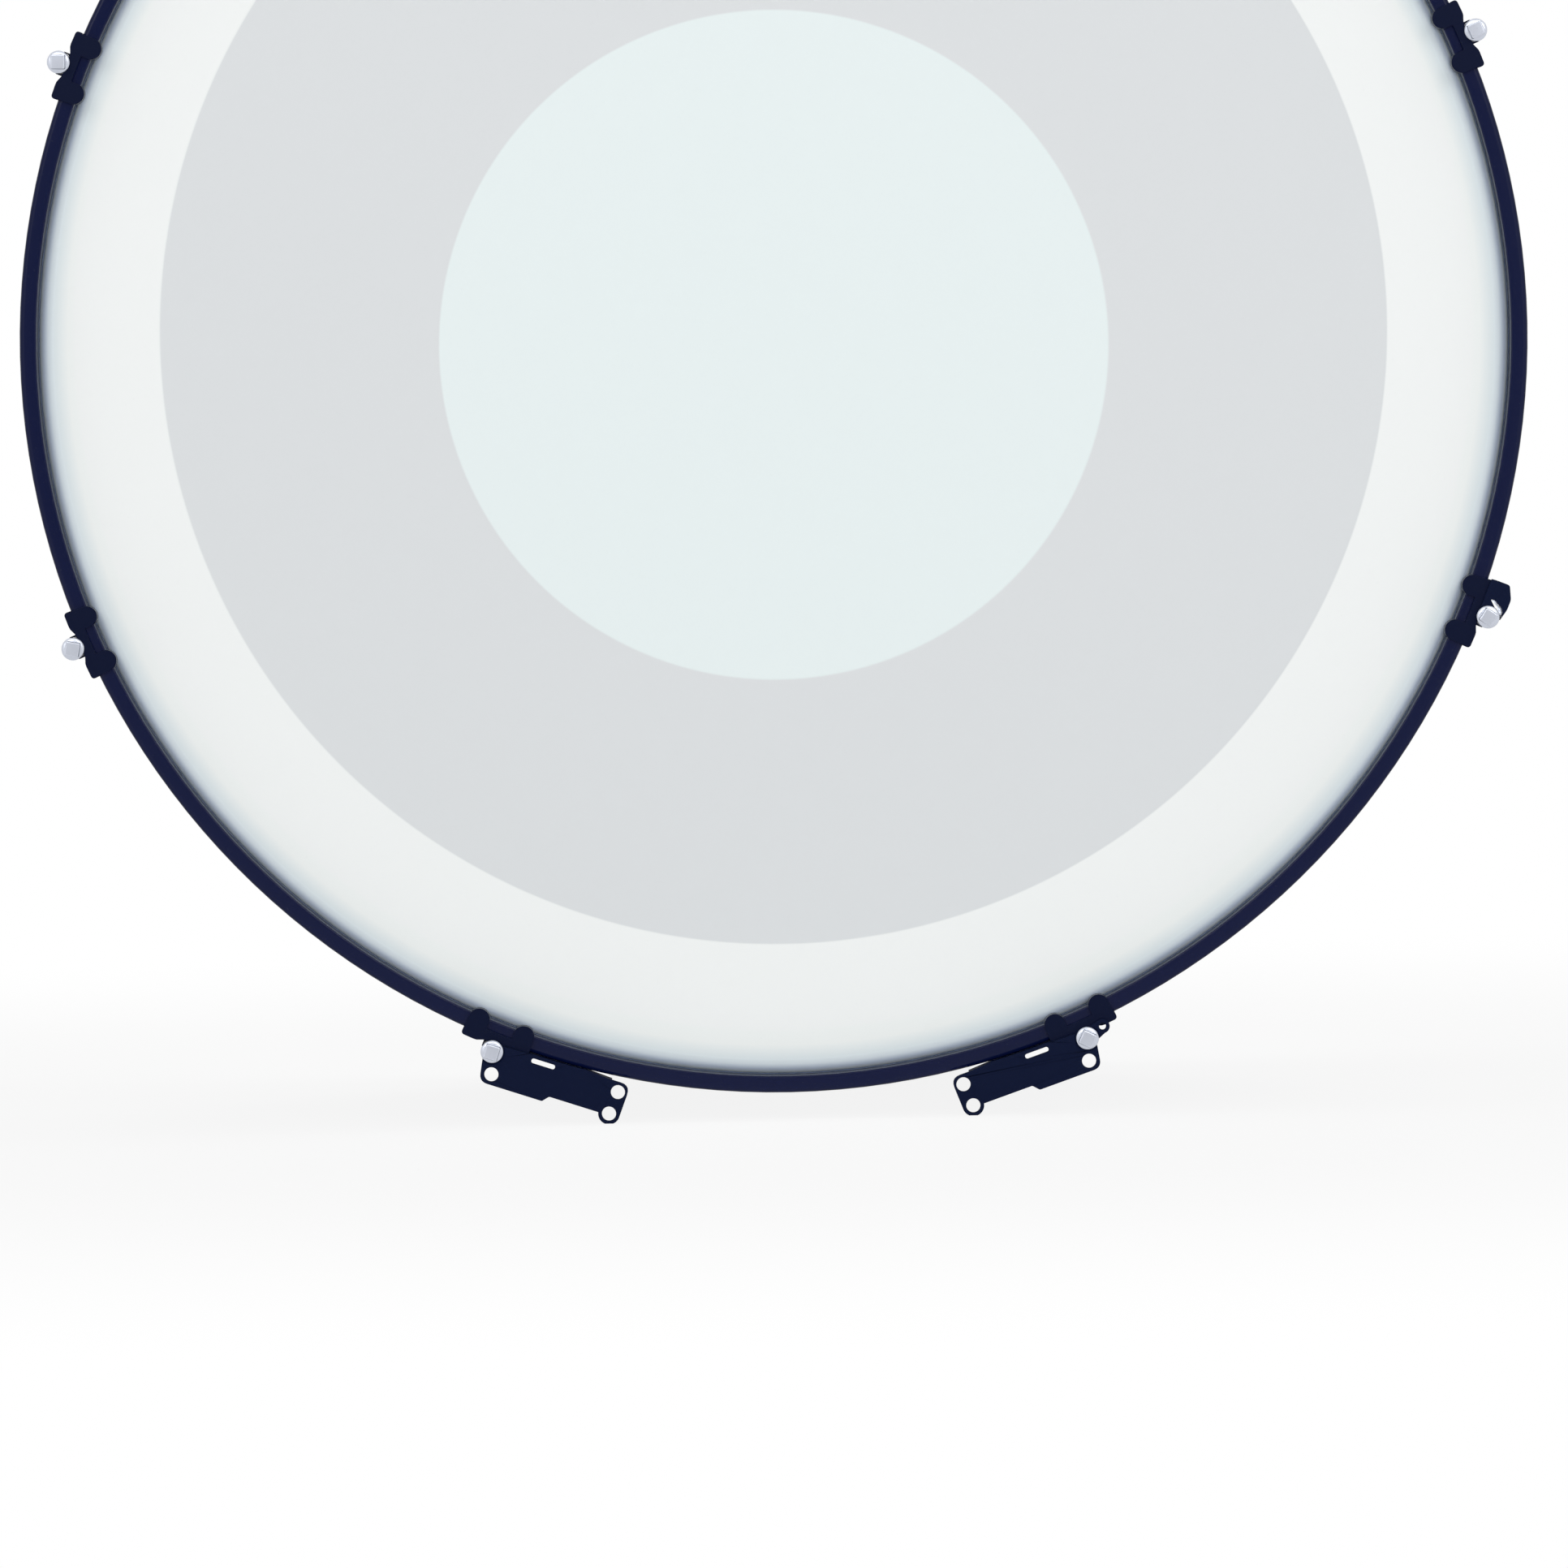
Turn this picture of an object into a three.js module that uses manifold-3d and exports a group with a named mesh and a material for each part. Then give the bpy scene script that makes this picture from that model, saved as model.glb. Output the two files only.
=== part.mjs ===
import * as THREE from 'three';
import { mergeVertices } from 'three/addons/utils/BufferGeometryUtils.js';
import Module from 'manifold-3d';

const wasm = await Module();
wasm.setup();

// Marching bass drum, 28 by 14 inches, in millimetres with +Z up. The drum's axis lies along Y,
// its front head faces -Y, and it stands on the lobes of its four carrier plates.

// Shared clearances and counts
const FIT_GAP = 0.3; // between pieces that bear on each other
const OVERRUN = 2; // how far a cut runs past the face that it opens
const RIM_FACETS = 48; // sides of everything that goes round the drum
const ROUND_FACETS = 12; // sides of rods, barrels and bores
const CORNER_STEPS = 3; // steps in a rounded corner
const CURVE_STEPS = 4; // steps in a half-round end or a long shallow curve

// Shell
const SHELL_RADIUS = 355.6;
const SHELL_DEPTH = 355.6;
const SHELL_WALL = 7;
const BEARING_INSET = 0.9; // from the outer face in to the peak of the bearing edge
const BEARING_DROP = 1.6; // of the outer chamfer below the peak

// Head film
const FILM_THICKNESS = 0.3;
const FILM_BEND_INSET = 0.25; // from the shell's outer face in to the bend of the film
const COLLAR_DROP = 6; // from the shell's end down to the top of the flesh hoop

// Flesh hoop, a channel that holds the film's edge
const FLESH_SHELL_GAP = 0.6;
const FLESH_WIDTH = 6;
const FLESH_HEIGHT = 9;
const FLESH_LIP = 0.8; // wall between the shell and the groove
const FLESH_GROOVE_DEPTH = 4;
const FLESH_EDGE = 1;

// Counter hoop
const HOOP_SKIRT = 5.1; // thickness beside the flesh hoop
const HOOP_LIP = 3.1; // by which the playing lip reaches in over the flesh hoop
const HOOP_DEPTH = 38.1;
const HOOP_PROUD = 15; // of the shell's end
const HOOP_EDGE = 1.2;

// Patch and damping ring behind the film
const PATCH_RADIUS = 163.5;
const PATCH_THICKNESS = 0.5;
const PATCH_DROP = 2.6; // laid this far below the drum's centre
const DAMPER_WIDTH = 42.1;
const DAMPER_SHELL_GAP = 6.6;
const DAMPER_THICKNESS = 6;
const DAMPER_RISE = 4.2; // laid this far above the drum's centre

// Tension rods
const ROD_RADIUS = 3;
const ROD_BITE = 15.7; // length of a rod that runs into its lug
const ROD_PITCH_RADIUS_GAP = 0.45; // between a rod and the bore that it runs in
const FLANGE_RADIUS = 5.6;
const FLANGE_THICKNESS = 1.6;
const FLANGE_EDGE = 0.4;
const HEAD_SQUARE = 6.2;
const HEAD_HEIGHT = 7.5;
const HEAD_EDGE = 0.5;
const HEAD_SIDES = 4;

// Claws
const CLAW_HALF_WIDTH = 17.4;
const CLAW_WALL = 3.2; // at the two ends
const CLAW_WAIST_WALL = 1.4; // behind the rod
const CLAW_WAIST_HALF_WIDTH = 5;
const CLAW_SHOULDER = 9; // from the middle out to where the wall is full again
const CLAW_FRONT_WALL = 2.9; // of the prongs over the hoop's edge
const CLAW_LENGTH = 26; // from front to back
const CLAW_END_ROUND = 1.2;
const BARREL_RADIUS = 5.4;
const BARREL_LENGTH = 18;
const PRONG_PLACE = 11.9; // from the middle to each prong
const PRONG_WIDTH = 10.3;
const PRONG_REACH = 3.4; // past the hoop's inner face
const PRONG_DEPTH = 12; // from the front down inside the hoop

// Lugs
const LUG_LENGTH = 160;
const LUG_BOSS_RADIUS = 6.6;
const LUG_BOSS_LENGTH = 26;
const LUG_BORE_DEPTH = 24;
const LUG_WAIST_DROP = 8.5; // of the back between the bosses
const LUG_WAIST_NARROWING = 2.2; // of each side between the bosses
const LUG_END_SLOPE = 3;
const LUG_ARCH_FOOT = 38; // from the middle to where the arch under the lug starts
const LUG_ARCH_RISE = 7;
const LUG_PAD_RADIUS = 10.5;
const LUG_PAD_HEIGHT = 3.2;
const LUG_PAD_PLACE = 52; // from the middle to the middle of each pad
const LUG_BODY_SHARE = 0.9; // of the boss's width

// Air vent
const VENT_RADIUS = 5;
const VENT_WALL = 1.2;
const VENT_FLANGE = 3.6;
const VENT_FLANGE_THICKNESS = 1;

// Carrier plates
const PLATE_THICKNESS = 3;
const PLATE_ROD_PLACE = 27; // from the plate's middle out to the rod
const PLATE_HOLE_RADIUS = 3.45;
const PLATE_TOP_MARGIN = 5.4; // round the rod's hole
const PLATE_SEAT_DEPTH = 0.5; // of the spot face under the rod's flange
const PLATE_SEAT_RADIUS = 6.2;
const PLATE_HEIGHT = 20.2; // from the edge on the hoop down to the outer bottom edge
const PLATE_STEP = 3.1; // by which the inner bottom edge lies higher
const PLATE_STEP_START = 3.4;
const PLATE_STEP_END = 6.2;
const PLATE_OUTER_END = 28.6;
const PLATE_OUTER_NECK = 31;
const PLATE_NECK_DROP = 5.5;
const PLATE_CORNER = 4;
const PLATE_SMALL_CORNER = 0.6;
const OUTER_LOW_HOLE = [-24, 15.1];
const INNER_HIGH_HOLE = [37.5, 4.9];
const INNER_LOW_HOLE = [36.5, 16.2];
const LOBE_RADIUS = 5.3;
const LOBE_FLAT = 0.4; // cut off where the drum stands
const SLOT_LENGTH = 13;
const SLOT_WIDTH = 3.1;
const SLOT_DROP = 1.2; // from the edge on the hoop
const RIB_LENGTH = 28.4;
const RIB_CLAW_GAP = 1.2; // from the claw to the start of the rib and the slot
const RIB_DEPTH = 12;
const EYE_OUT = 9.2; // from the rod to the small eye
const EYE_RISE = 2.2;
const EYE_RADIUS = 3.5;
const EYE_HOLE_RADIUS = 1.7;

// Sling hook
const HOOK_DEPTH = 36;
const HOOK_BACK = 18.2; // from the rod to the hook's back
const HOOK_TOP = 7.5; // above the rod circle
const HOOK_BACK_TOP = 4.4;
const HOOK_ROOT = 12.8;
const HOOK_THROAT = 8.8;
const HOOK_THROAT_RISE = 0.3;
const HOOK_CREST = 6.5;
const HOOK_CREST_RISE = 4.6;
const HOOK_TIP = 0.6;
const HOOK_TIP_RISE = 6;
const HOOK_TIP_WIDTH = 2.2;
const HOOK_CLAW_GAP = 0.5;
const HOOK_CORNER = 1.2;

// Angles, in degrees from +X towards +Z as the front shows them
const CARRIER_HALF_ANGLE = 22.9; // of the two lowest lugs from the bottom
const BOTTOM = 270;
const TOP = 90;
const STATIONS = [
  22.5, 67.5, 112.5, 157.5, 202.5, BOTTOM - CARRIER_HALF_ANGLE, BOTTOM + CARRIER_HALF_ANGLE, 337.5,
];
const LEFT_CARRIER_STATION = 5;
const RIGHT_CARRIER_STATION = 6;
const HOOK_STATION = 7;
const ROD_TURN = 37; // between one key head and the next, as left by tuning
const FRONT = -1;
const REAR = 1;

// Places that follow from the sizes
const HALF_DEPTH = SHELL_DEPTH / 2;
const SHELL_INNER = SHELL_RADIUS - SHELL_WALL;
const DAMPER_OUTER_RADIUS = SHELL_INNER - DAMPER_SHELL_GAP;
const DAMPER_INNER_RADIUS = DAMPER_OUTER_RADIUS - DAMPER_WIDTH;
const FACET_SAG = SHELL_RADIUS * (1 - Math.cos(Math.PI / RIM_FACETS));
const FILM_BACK = HALF_DEPTH + FIT_GAP;
const FILM_FRONT = FILM_BACK + FILM_THICKNESS;
const FLESH_TOP = HALF_DEPTH - COLLAR_DROP;
const FLESH_INNER = SHELL_RADIUS + FLESH_SHELL_GAP;
const FLESH_OUTER = FLESH_INNER + FLESH_WIDTH;
const GROOVE_INNER = FLESH_INNER + FLESH_LIP;
const GROOVE_OUTER = GROOVE_INNER + FILM_THICKNESS + 2 * FIT_GAP;
const HOOP_REBATE = FLESH_OUTER + FIT_GAP;
const HOOP_RADIUS = HOOP_REBATE + HOOP_SKIRT;
const HOOP_INNER = HOOP_REBATE - HOOP_LIP;
const HOOP_FRONT = HALF_DEPTH + HOOP_PROUD;
const HOOP_BACK = HOOP_FRONT - HOOP_DEPTH;
const CLAW_INNER = HOOP_RADIUS + FIT_GAP;
const CLAW_OUTER = CLAW_INNER + CLAW_WALL;
const CLAW_FRONT = HOOP_FRONT + FIT_GAP + CLAW_FRONT_WALL;
const CLAW_BACK = CLAW_FRONT - CLAW_LENGTH;
const ROD_CIRCLE = CLAW_INNER + BARREL_RADIUS; // radius on which the rods stand
const ROD_LENGTH = CLAW_FRONT + FIT_GAP - LUG_LENGTH / 2 + ROD_BITE; // under the flange
const BORE_RADIUS = (ROD_RADIUS + ROD_PITCH_RADIUS_GAP) / Math.cos(Math.PI / ROUND_FACETS);
const VENT_BORE = (VENT_RADIUS + VENT_WALL + FIT_GAP) / Math.cos(Math.PI / ROUND_FACETS);
const PLATE_BACK = CLAW_FRONT + FIT_GAP;
const PLATE_FRONT = PLATE_BACK + PLATE_THICKNESS;
const PLATE_SEAT = PLATE_FRONT - PLATE_SEAT_DEPTH; // where a rod's flange clamps a plate or the hook
const PLATE_EDGE = HOOP_RADIUS + FIT_GAP; // from the drum's axis to the straight edge on the hoop
const LUG_SEAT = SHELL_RADIUS + FIT_GAP;
const PLATE_TURN = Math.asin(PLATE_ROD_PLACE / ROD_CIRCLE); // round the drum from a plate's middle to its rod
const PLATE_HALF_ANGLE = CARRIER_HALF_ANGLE - THREE.MathUtils.radToDeg(PLATE_TURN);
const SLOT_START = CLAW_HALF_WIDTH + RIB_CLAW_GAP - PLATE_ROD_PLACE;
const STAND_HEIGHT = lobeDepth() - LOBE_FLAT;

// Finishes
const lacquer = finish('#14182f', 0.25, 0);
const shellLacquer = finish('#151a33', 0.35, 0);
const clearFilm = finish('#e4eaea', 0.45, 0);
const patchFilm = finish('#eef4f4', 0.5, 0);
const foam = finish('#f1f3f0', 0.95, 0);
const aluminium = finish('#8e9aa8', 0.35, 1);
const blackCasting = finish('#0c0d16', 0.4, 0.2);
const chrome = finish('#d8d9de', 0.12, 1);
const blackSteel = finish('#0b0d18', 0.45, 0.2);

function finish(color, roughness, metalness) {
  return new THREE.MeshStandardMaterial({ color, roughness, metalness });
}

// A closed triangle mesh with shared vertices and no triangle of zero width
function weld(geometry) {
  const bare = geometry.clone();
  bare.deleteAttribute('normal');
  bare.deleteAttribute('uv');
  const merged = mergeVertices(bare);
  const corners = merged.index.array;
  const kept = [];
  for (let i = 0; i < corners.length; i += 3) {
    const [a, b, c] = [corners[i], corners[i + 1], corners[i + 2]];
    if (a !== b && b !== c && c !== a) kept.push(a, b, c);
  }
  merged.setIndex(kept);
  return merged;
}

function solid(geometry) {
  const welded = weld(geometry);
  return new wasm.Manifold(new wasm.Mesh({
    numProp: 3,
    vertProperties: new Float32Array(welded.attributes.position.array),
    triVerts: new Uint32Array(welded.index.array),
  }));
}

function surface(manifold) {
  const cut = manifold.getMesh();
  const geometry = new THREE.BufferGeometry();
  geometry.setAttribute('position', new THREE.BufferAttribute(cut.vertProperties, cut.numProp));
  geometry.setIndex(new THREE.BufferAttribute(cut.triVerts, 1));
  return geometry;
}

function piece(name, geometry, material) {
  const mesh = new THREE.Mesh(geometry, material);
  mesh.name = name;
  return mesh;
}

// Turns a profile of [radius, height] points about the drum's axis
function revolve(points, facets = RIM_FACETS) {
  return weld(new THREE.LatheGeometry(points.map(([r, y]) => new THREE.Vector2(r, y)), facets));
}

function closed(points) {
  return [...points, points[0]];
}

// Lifts an outline from one height to another along Z
function extrude(shape, from, to, curveSegments = CORNER_STEPS) {
  const depth = to - from;
  const lifted = new THREE.ExtrudeGeometry(shape, { depth, bevelEnabled: false, curveSegments });
  return lifted.translate(0, 0, from);
}

// An outline through corners given as [x, y, rounding]
function roundedOutline(corners) {
  const shape = new THREE.Shape();
  corners.forEach(([x, y, rounding], i) => {
    const corner = new THREE.Vector2(x, y);
    const before = new THREE.Vector2(...corners.at(i - 1));
    const after = new THREE.Vector2(...corners[(i + 1) % corners.length]);
    const enter = corner.clone().add(before.sub(corner).setLength(rounding));
    const leave = corner.clone().add(after.sub(corner).setLength(rounding));
    if (i === 0) shape.moveTo(enter.x, enter.y);
    else shape.lineTo(enter.x, enter.y);
    if (rounding > 0) shape.quadraticCurveTo(x, y, leave.x, leave.y);
  });
  shape.closePath();
  return shape;
}

// A band between two radii about the drum's axis, reaching a half width to each side of +Y
function arcBand(inner, outer, halfWidth) {
  const spread = Math.asin(halfWidth / inner);
  const shape = new THREE.Shape();
  shape.absarc(0, 0, inner, Math.PI / 2 + spread, Math.PI / 2 - spread, true);
  shape.absarc(0, 0, outer, Math.PI / 2 - spread, Math.PI / 2 + spread, false);
  shape.closePath();
  return shape;
}

function barAlongZ(radius, from, to, x, y, facets = ROUND_FACETS) {
  const bar = new THREE.CylinderGeometry(radius, radius, to - from, facets);
  return bar.rotateX(Math.PI / 2).translate(x, y, (from + to) / 2);
}

function barAlongY(radius, from, to, z, facets = ROUND_FACETS) {
  return new THREE.CylinderGeometry(radius, radius, to - from, facets).translate(0, (from + to) / 2, z);
}

// At a station X runs round the drum, Y out from its axis and Z from mid shell to that end
function stationMatrix(angle, side) {
  const turn = THREE.MathUtils.degToRad(angle);
  const outward = new THREE.Vector3(Math.cos(turn), 0, Math.sin(turn));
  const endward = new THREE.Vector3(0, side, 0);
  return new THREE.Matrix4().makeBasis(outward.clone().cross(endward), outward, endward);
}

function stationFrame(angle, side) {
  const frame = new THREE.Group();
  frame.applyMatrix4(stationMatrix(angle, side));
  return frame;
}

// A ring is made for the rear end, and half a turn about Z takes it to the front
function rim(name, side, geometry, material, rise = 0) {
  const mesh = piece(name, geometry, material);
  mesh.rotation.z = side === FRONT ? Math.PI : 0;
  mesh.position.z = rise;
  return mesh;
}

// Shell: bent ply with a bearing edge at both ends and a hole for the vent
function shellGeometry() {
  const peak = SHELL_RADIUS - BEARING_INSET;
  const upper = [
    [SHELL_RADIUS, HALF_DEPTH - BEARING_DROP],
    [peak, HALF_DEPTH],
    [SHELL_INNER, HALF_DEPTH - (peak - SHELL_INNER)],
  ];
  const lower = upper.map(([r, y]) => [r, -y]).reverse();
  const shell = solid(revolve(closed([...lower, ...upper])));
  const ventHole = barAlongY(VENT_BORE, SHELL_INNER - OVERRUN, SHELL_RADIUS + OVERRUN, 0);
  return surface(shell.subtract(solid(ventHole.applyMatrix4(stationMatrix(TOP, REAR)))));
}

// Head film: flat over the bearing edge, then down a steep collar into the flesh hoop's groove
function filmGeometry() {
  const bend = SHELL_RADIUS - FILM_BEND_INSET;
  const skirt = GROOVE_INNER + FIT_GAP;
  const end = FLESH_TOP - FLESH_GROOVE_DEPTH + FIT_GAP;
  return revolve([
    [0, FILM_BACK],
    [bend, FILM_BACK],
    [skirt, FLESH_TOP],
    [skirt, end],
    [skirt + FILM_THICKNESS, end],
    [skirt + FILM_THICKNESS, FLESH_TOP],
    [bend + FILM_THICKNESS / 2, FILM_FRONT],
    [0, FILM_FRONT],
  ]);
}

// Flesh hoop: a channel open towards the end of the drum
function fleshHoopGeometry() {
  return revolve(closed([
    [FLESH_INNER, FLESH_TOP - FLESH_HEIGHT],
    [FLESH_OUTER, FLESH_TOP - FLESH_HEIGHT],
    [FLESH_OUTER, FLESH_TOP - FLESH_EDGE],
    [FLESH_OUTER - FLESH_EDGE, FLESH_TOP],
    [GROOVE_OUTER, FLESH_TOP],
    [GROOVE_OUTER, FLESH_TOP - FLESH_GROOVE_DEPTH],
    [GROOVE_INNER, FLESH_TOP - FLESH_GROOVE_DEPTH],
    [GROOVE_INNER, FLESH_TOP],
    [FLESH_INNER, FLESH_TOP],
  ]));
}

// Counter hoop: a ply ring whose rebate sits down over the flesh hoop
function hoopGeometry() {
  const ledge = FLESH_TOP + FIT_GAP;
  return revolve(closed([
    [HOOP_REBATE, HOOP_BACK],
    [HOOP_RADIUS - HOOP_EDGE, HOOP_BACK],
    [HOOP_RADIUS, HOOP_BACK + HOOP_EDGE],
    [HOOP_RADIUS, HOOP_FRONT - HOOP_EDGE],
    [HOOP_RADIUS - HOOP_EDGE, HOOP_FRONT],
    [HOOP_INNER + HOOP_EDGE, HOOP_FRONT],
    [HOOP_INNER, HOOP_FRONT - HOOP_EDGE],
    [HOOP_INNER, ledge],
    [HOOP_REBATE, ledge],
  ]));
}

// Round patch laminated behind the middle of the film
function patchGeometry() {
  const front = FILM_BACK - FIT_GAP;
  const back = front - PATCH_THICKNESS;
  return revolve([[0, back], [PATCH_RADIUS, back], [PATCH_RADIUS, front], [0, front]]);
}

// Foam ring behind the film's edge
function damperGeometry() {
  const front = FILM_BACK - FIT_GAP;
  const back = front - DAMPER_THICKNESS;
  return revolve(closed([
    [DAMPER_INNER_RADIUS, back],
    [DAMPER_OUTER_RADIUS, back],
    [DAMPER_OUTER_RADIUS, front],
    [DAMPER_INNER_RADIUS, front],
  ]));
}

// Claw: a wall against the hoop's outer face, two prongs over its front edge and a barrel for the rod
function clawGeometry() {
  const waist = CLAW_INNER + CLAW_WAIST_WALL;
  const rightEdge = [
    [CLAW_HALF_WIDTH, CLAW_OUTER - CLAW_END_ROUND],
    [CLAW_HALF_WIDTH - CLAW_END_ROUND, CLAW_OUTER],
    [CLAW_SHOULDER, CLAW_OUTER],
    [CLAW_WAIST_HALF_WIDTH, waist],
  ];
  const leftEdge = rightEdge.map(([arc, r]) => [-arc, r]).reverse();
  const spread = CLAW_HALF_WIDTH / CLAW_INNER;
  const wall = new THREE.Shape();
  wall.absarc(0, 0, CLAW_INNER, Math.PI / 2 + spread, Math.PI / 2 - spread, true);
  for (const [arc, r] of [...rightEdge, ...leftEdge]) {
    wall.lineTo(r * Math.sin(arc / CLAW_INNER), r * Math.cos(arc / CLAW_INNER));
  }
  wall.closePath();
  let claw = solid(extrude(wall, CLAW_BACK, CLAW_FRONT));
  for (const arc of [-PRONG_PLACE, PRONG_PLACE]) {
    claw = claw.add(solid(prongGeometry().rotateZ(-arc / CLAW_INNER)).subtract(hoopSpace()));
  }
  claw = claw.add(solid(barAlongZ(BARREL_RADIUS, CLAW_FRONT - BARREL_LENGTH, CLAW_FRONT, 0, ROD_CIRCLE)));
  const bore = barAlongZ(BORE_RADIUS, CLAW_BACK, CLAW_FRONT + OVERRUN, 0, ROD_CIRCLE);
  return surface(claw.subtract(solid(bore)));
}

function prongGeometry() {
  const half = PRONG_WIDTH / 2;
  const tip = HOOP_INNER - PRONG_REACH;
  const root = CLAW_INNER + CLAW_WAIST_WALL;
  const outline = new THREE.Shape();
  outline.moveTo(-half, root);
  outline.absarc(0, tip + half, half, Math.PI, 2 * Math.PI, false);
  outline.lineTo(half, root);
  outline.closePath();
  return extrude(outline, CLAW_FRONT - PRONG_DEPTH, CLAW_FRONT, CURVE_STEPS);
}

function hoopSpace() {
  const inner = HOOP_INNER - FACET_SAG - FIT_GAP;
  const band = arcBand(inner, CLAW_INNER, CLAW_HALF_WIDTH + OVERRUN);
  return solid(extrude(band, HOOP_BACK, HOOP_FRONT + FIT_GAP));
}

// Tension rod, its flange at height zero: shank down, square key head up
function rodGeometry() {
  const top = FLANGE_THICKNESS + HEAD_HEIGHT;
  const corner = HEAD_SQUARE / Math.SQRT2;
  const shank = revolve([
    [0, -ROD_LENGTH],
    [ROD_RADIUS, -ROD_LENGTH],
    [ROD_RADIUS, 0],
    [FLANGE_RADIUS, 0],
    [FLANGE_RADIUS, FLANGE_THICKNESS - FLANGE_EDGE],
    [FLANGE_RADIUS - FLANGE_EDGE, FLANGE_THICKNESS],
    [0, FLANGE_THICKNESS],
  ], ROUND_FACETS);
  const head = revolve([
    [0, 0],
    [corner, 0],
    [corner, top - HEAD_EDGE],
    [corner - HEAD_EDGE, top],
    [0, top],
  ], HEAD_SIDES);
  return surface(solid(shank).add(solid(head))).rotateX(Math.PI / 2);
}

// Lug: a cast bridge with a boss at each end, bored for two rods and hollowed to sit on the shell
function lugGeometry() {
  const half = LUG_LENGTH / 2;
  const profile = extrude(lugSide(), -LUG_BOSS_RADIUS, LUG_BOSS_RADIUS, CURVE_STEPS);
  const taper = extrude(lugPlan(), SHELL_INNER, ROD_CIRCLE + LUG_BOSS_RADIUS + OVERRUN, CURVE_STEPS);
  let lug = solid(profile.rotateY(-Math.PI / 2)).intersect(solid(taper.rotateX(-Math.PI / 2)));
  for (const end of [-1, 1]) {
    const [from, to] = [end * (half - LUG_BOSS_LENGTH), end * half].sort((a, b) => a - b);
    const pad = barAlongY(LUG_PAD_RADIUS, SHELL_INNER, LUG_SEAT + LUG_PAD_HEIGHT, end * LUG_PAD_PLACE);
    lug = lug.add(solid(barAlongZ(LUG_BOSS_RADIUS, from, to, 0, ROD_CIRCLE))).add(solid(pad));
  }
  const shellSpace = arcBand(SHELL_INNER - OVERRUN, LUG_SEAT, 2 * LUG_PAD_RADIUS);
  lug = lug.subtract(solid(extrude(shellSpace, -half, half)));
  for (const end of [-1, 1]) {
    const [from, to] = [end * (half - LUG_BORE_DEPTH), end * (half + OVERRUN)].sort((a, b) => a - b);
    lug = lug.subtract(solid(barAlongZ(BORE_RADIUS, from, to, 0, ROD_CIRCLE)));
  }
  return surface(lug);
}

// Side view of a lug: feet under the bosses, an arch between them and a dipped back
function lugSide() {
  const half = LUG_LENGTH / 2;
  const crest = ROD_CIRCLE + LUG_BOSS_RADIUS;
  const shoulder = half - LUG_BOSS_LENGTH;
  const side = new THREE.Shape();
  side.moveTo(-half + LUG_END_SLOPE, SHELL_INNER);
  side.lineTo(-LUG_ARCH_FOOT, SHELL_INNER);
  side.lineTo(-LUG_ARCH_FOOT, LUG_SEAT);
  side.quadraticCurveTo(0, LUG_SEAT + 2 * LUG_ARCH_RISE, LUG_ARCH_FOOT, LUG_SEAT);
  side.lineTo(LUG_ARCH_FOOT, SHELL_INNER);
  side.lineTo(half - LUG_END_SLOPE, SHELL_INNER);
  side.lineTo(half, ROD_CIRCLE - LUG_BOSS_RADIUS);
  side.lineTo(half, crest);
  side.lineTo(shoulder, crest);
  side.quadraticCurveTo(0, crest - 2 * LUG_WAIST_DROP, -shoulder, crest);
  side.lineTo(-half, crest);
  side.lineTo(-half, ROD_CIRCLE - LUG_BOSS_RADIUS);
  side.closePath();
  return side;
}

// Plan of a lug, narrower in the middle
function lugPlan() {
  const end = LUG_LENGTH / 2 + OVERRUN;
  const shoulder = LUG_LENGTH / 2 - LUG_BOSS_LENGTH;
  const wide = LUG_BOSS_RADIUS * LUG_BODY_SHARE;
  const waist = wide - 2 * LUG_WAIST_NARROWING;
  const plan = new THREE.Shape();
  plan.moveTo(-wide, -end);
  plan.lineTo(wide, -end);
  plan.lineTo(wide, -shoulder);
  plan.quadraticCurveTo(waist, 0, wide, shoulder);
  plan.lineTo(wide, end);
  plan.lineTo(-wide, end);
  plan.lineTo(-wide, shoulder);
  plan.quadraticCurveTo(-waist, 0, -wide, -shoulder);
  plan.closePath();
  return plan;
}

// Air vent: a flanged eyelet through the shell, between the two top lugs
function ventGeometry() {
  const outerSeat = SHELL_RADIUS + FIT_GAP;
  const innerSeat = SHELL_INNER - FACET_SAG - FIT_GAP;
  const tube = VENT_RADIUS + VENT_WALL;
  const flange = tube + VENT_FLANGE;
  return revolve(closed([
    [VENT_RADIUS, innerSeat - VENT_FLANGE_THICKNESS],
    [flange, innerSeat - VENT_FLANGE_THICKNESS],
    [flange, innerSeat],
    [tube, innerSeat],
    [tube, outerSeat],
    [flange, outerSeat],
    [flange - VENT_FLANGE_THICKNESS, outerSeat + VENT_FLANGE_THICKNESS],
    [VENT_RADIUS, outerSeat + VENT_FLANGE_THICKNESS],
  ]), ROUND_FACETS);
}

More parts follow.
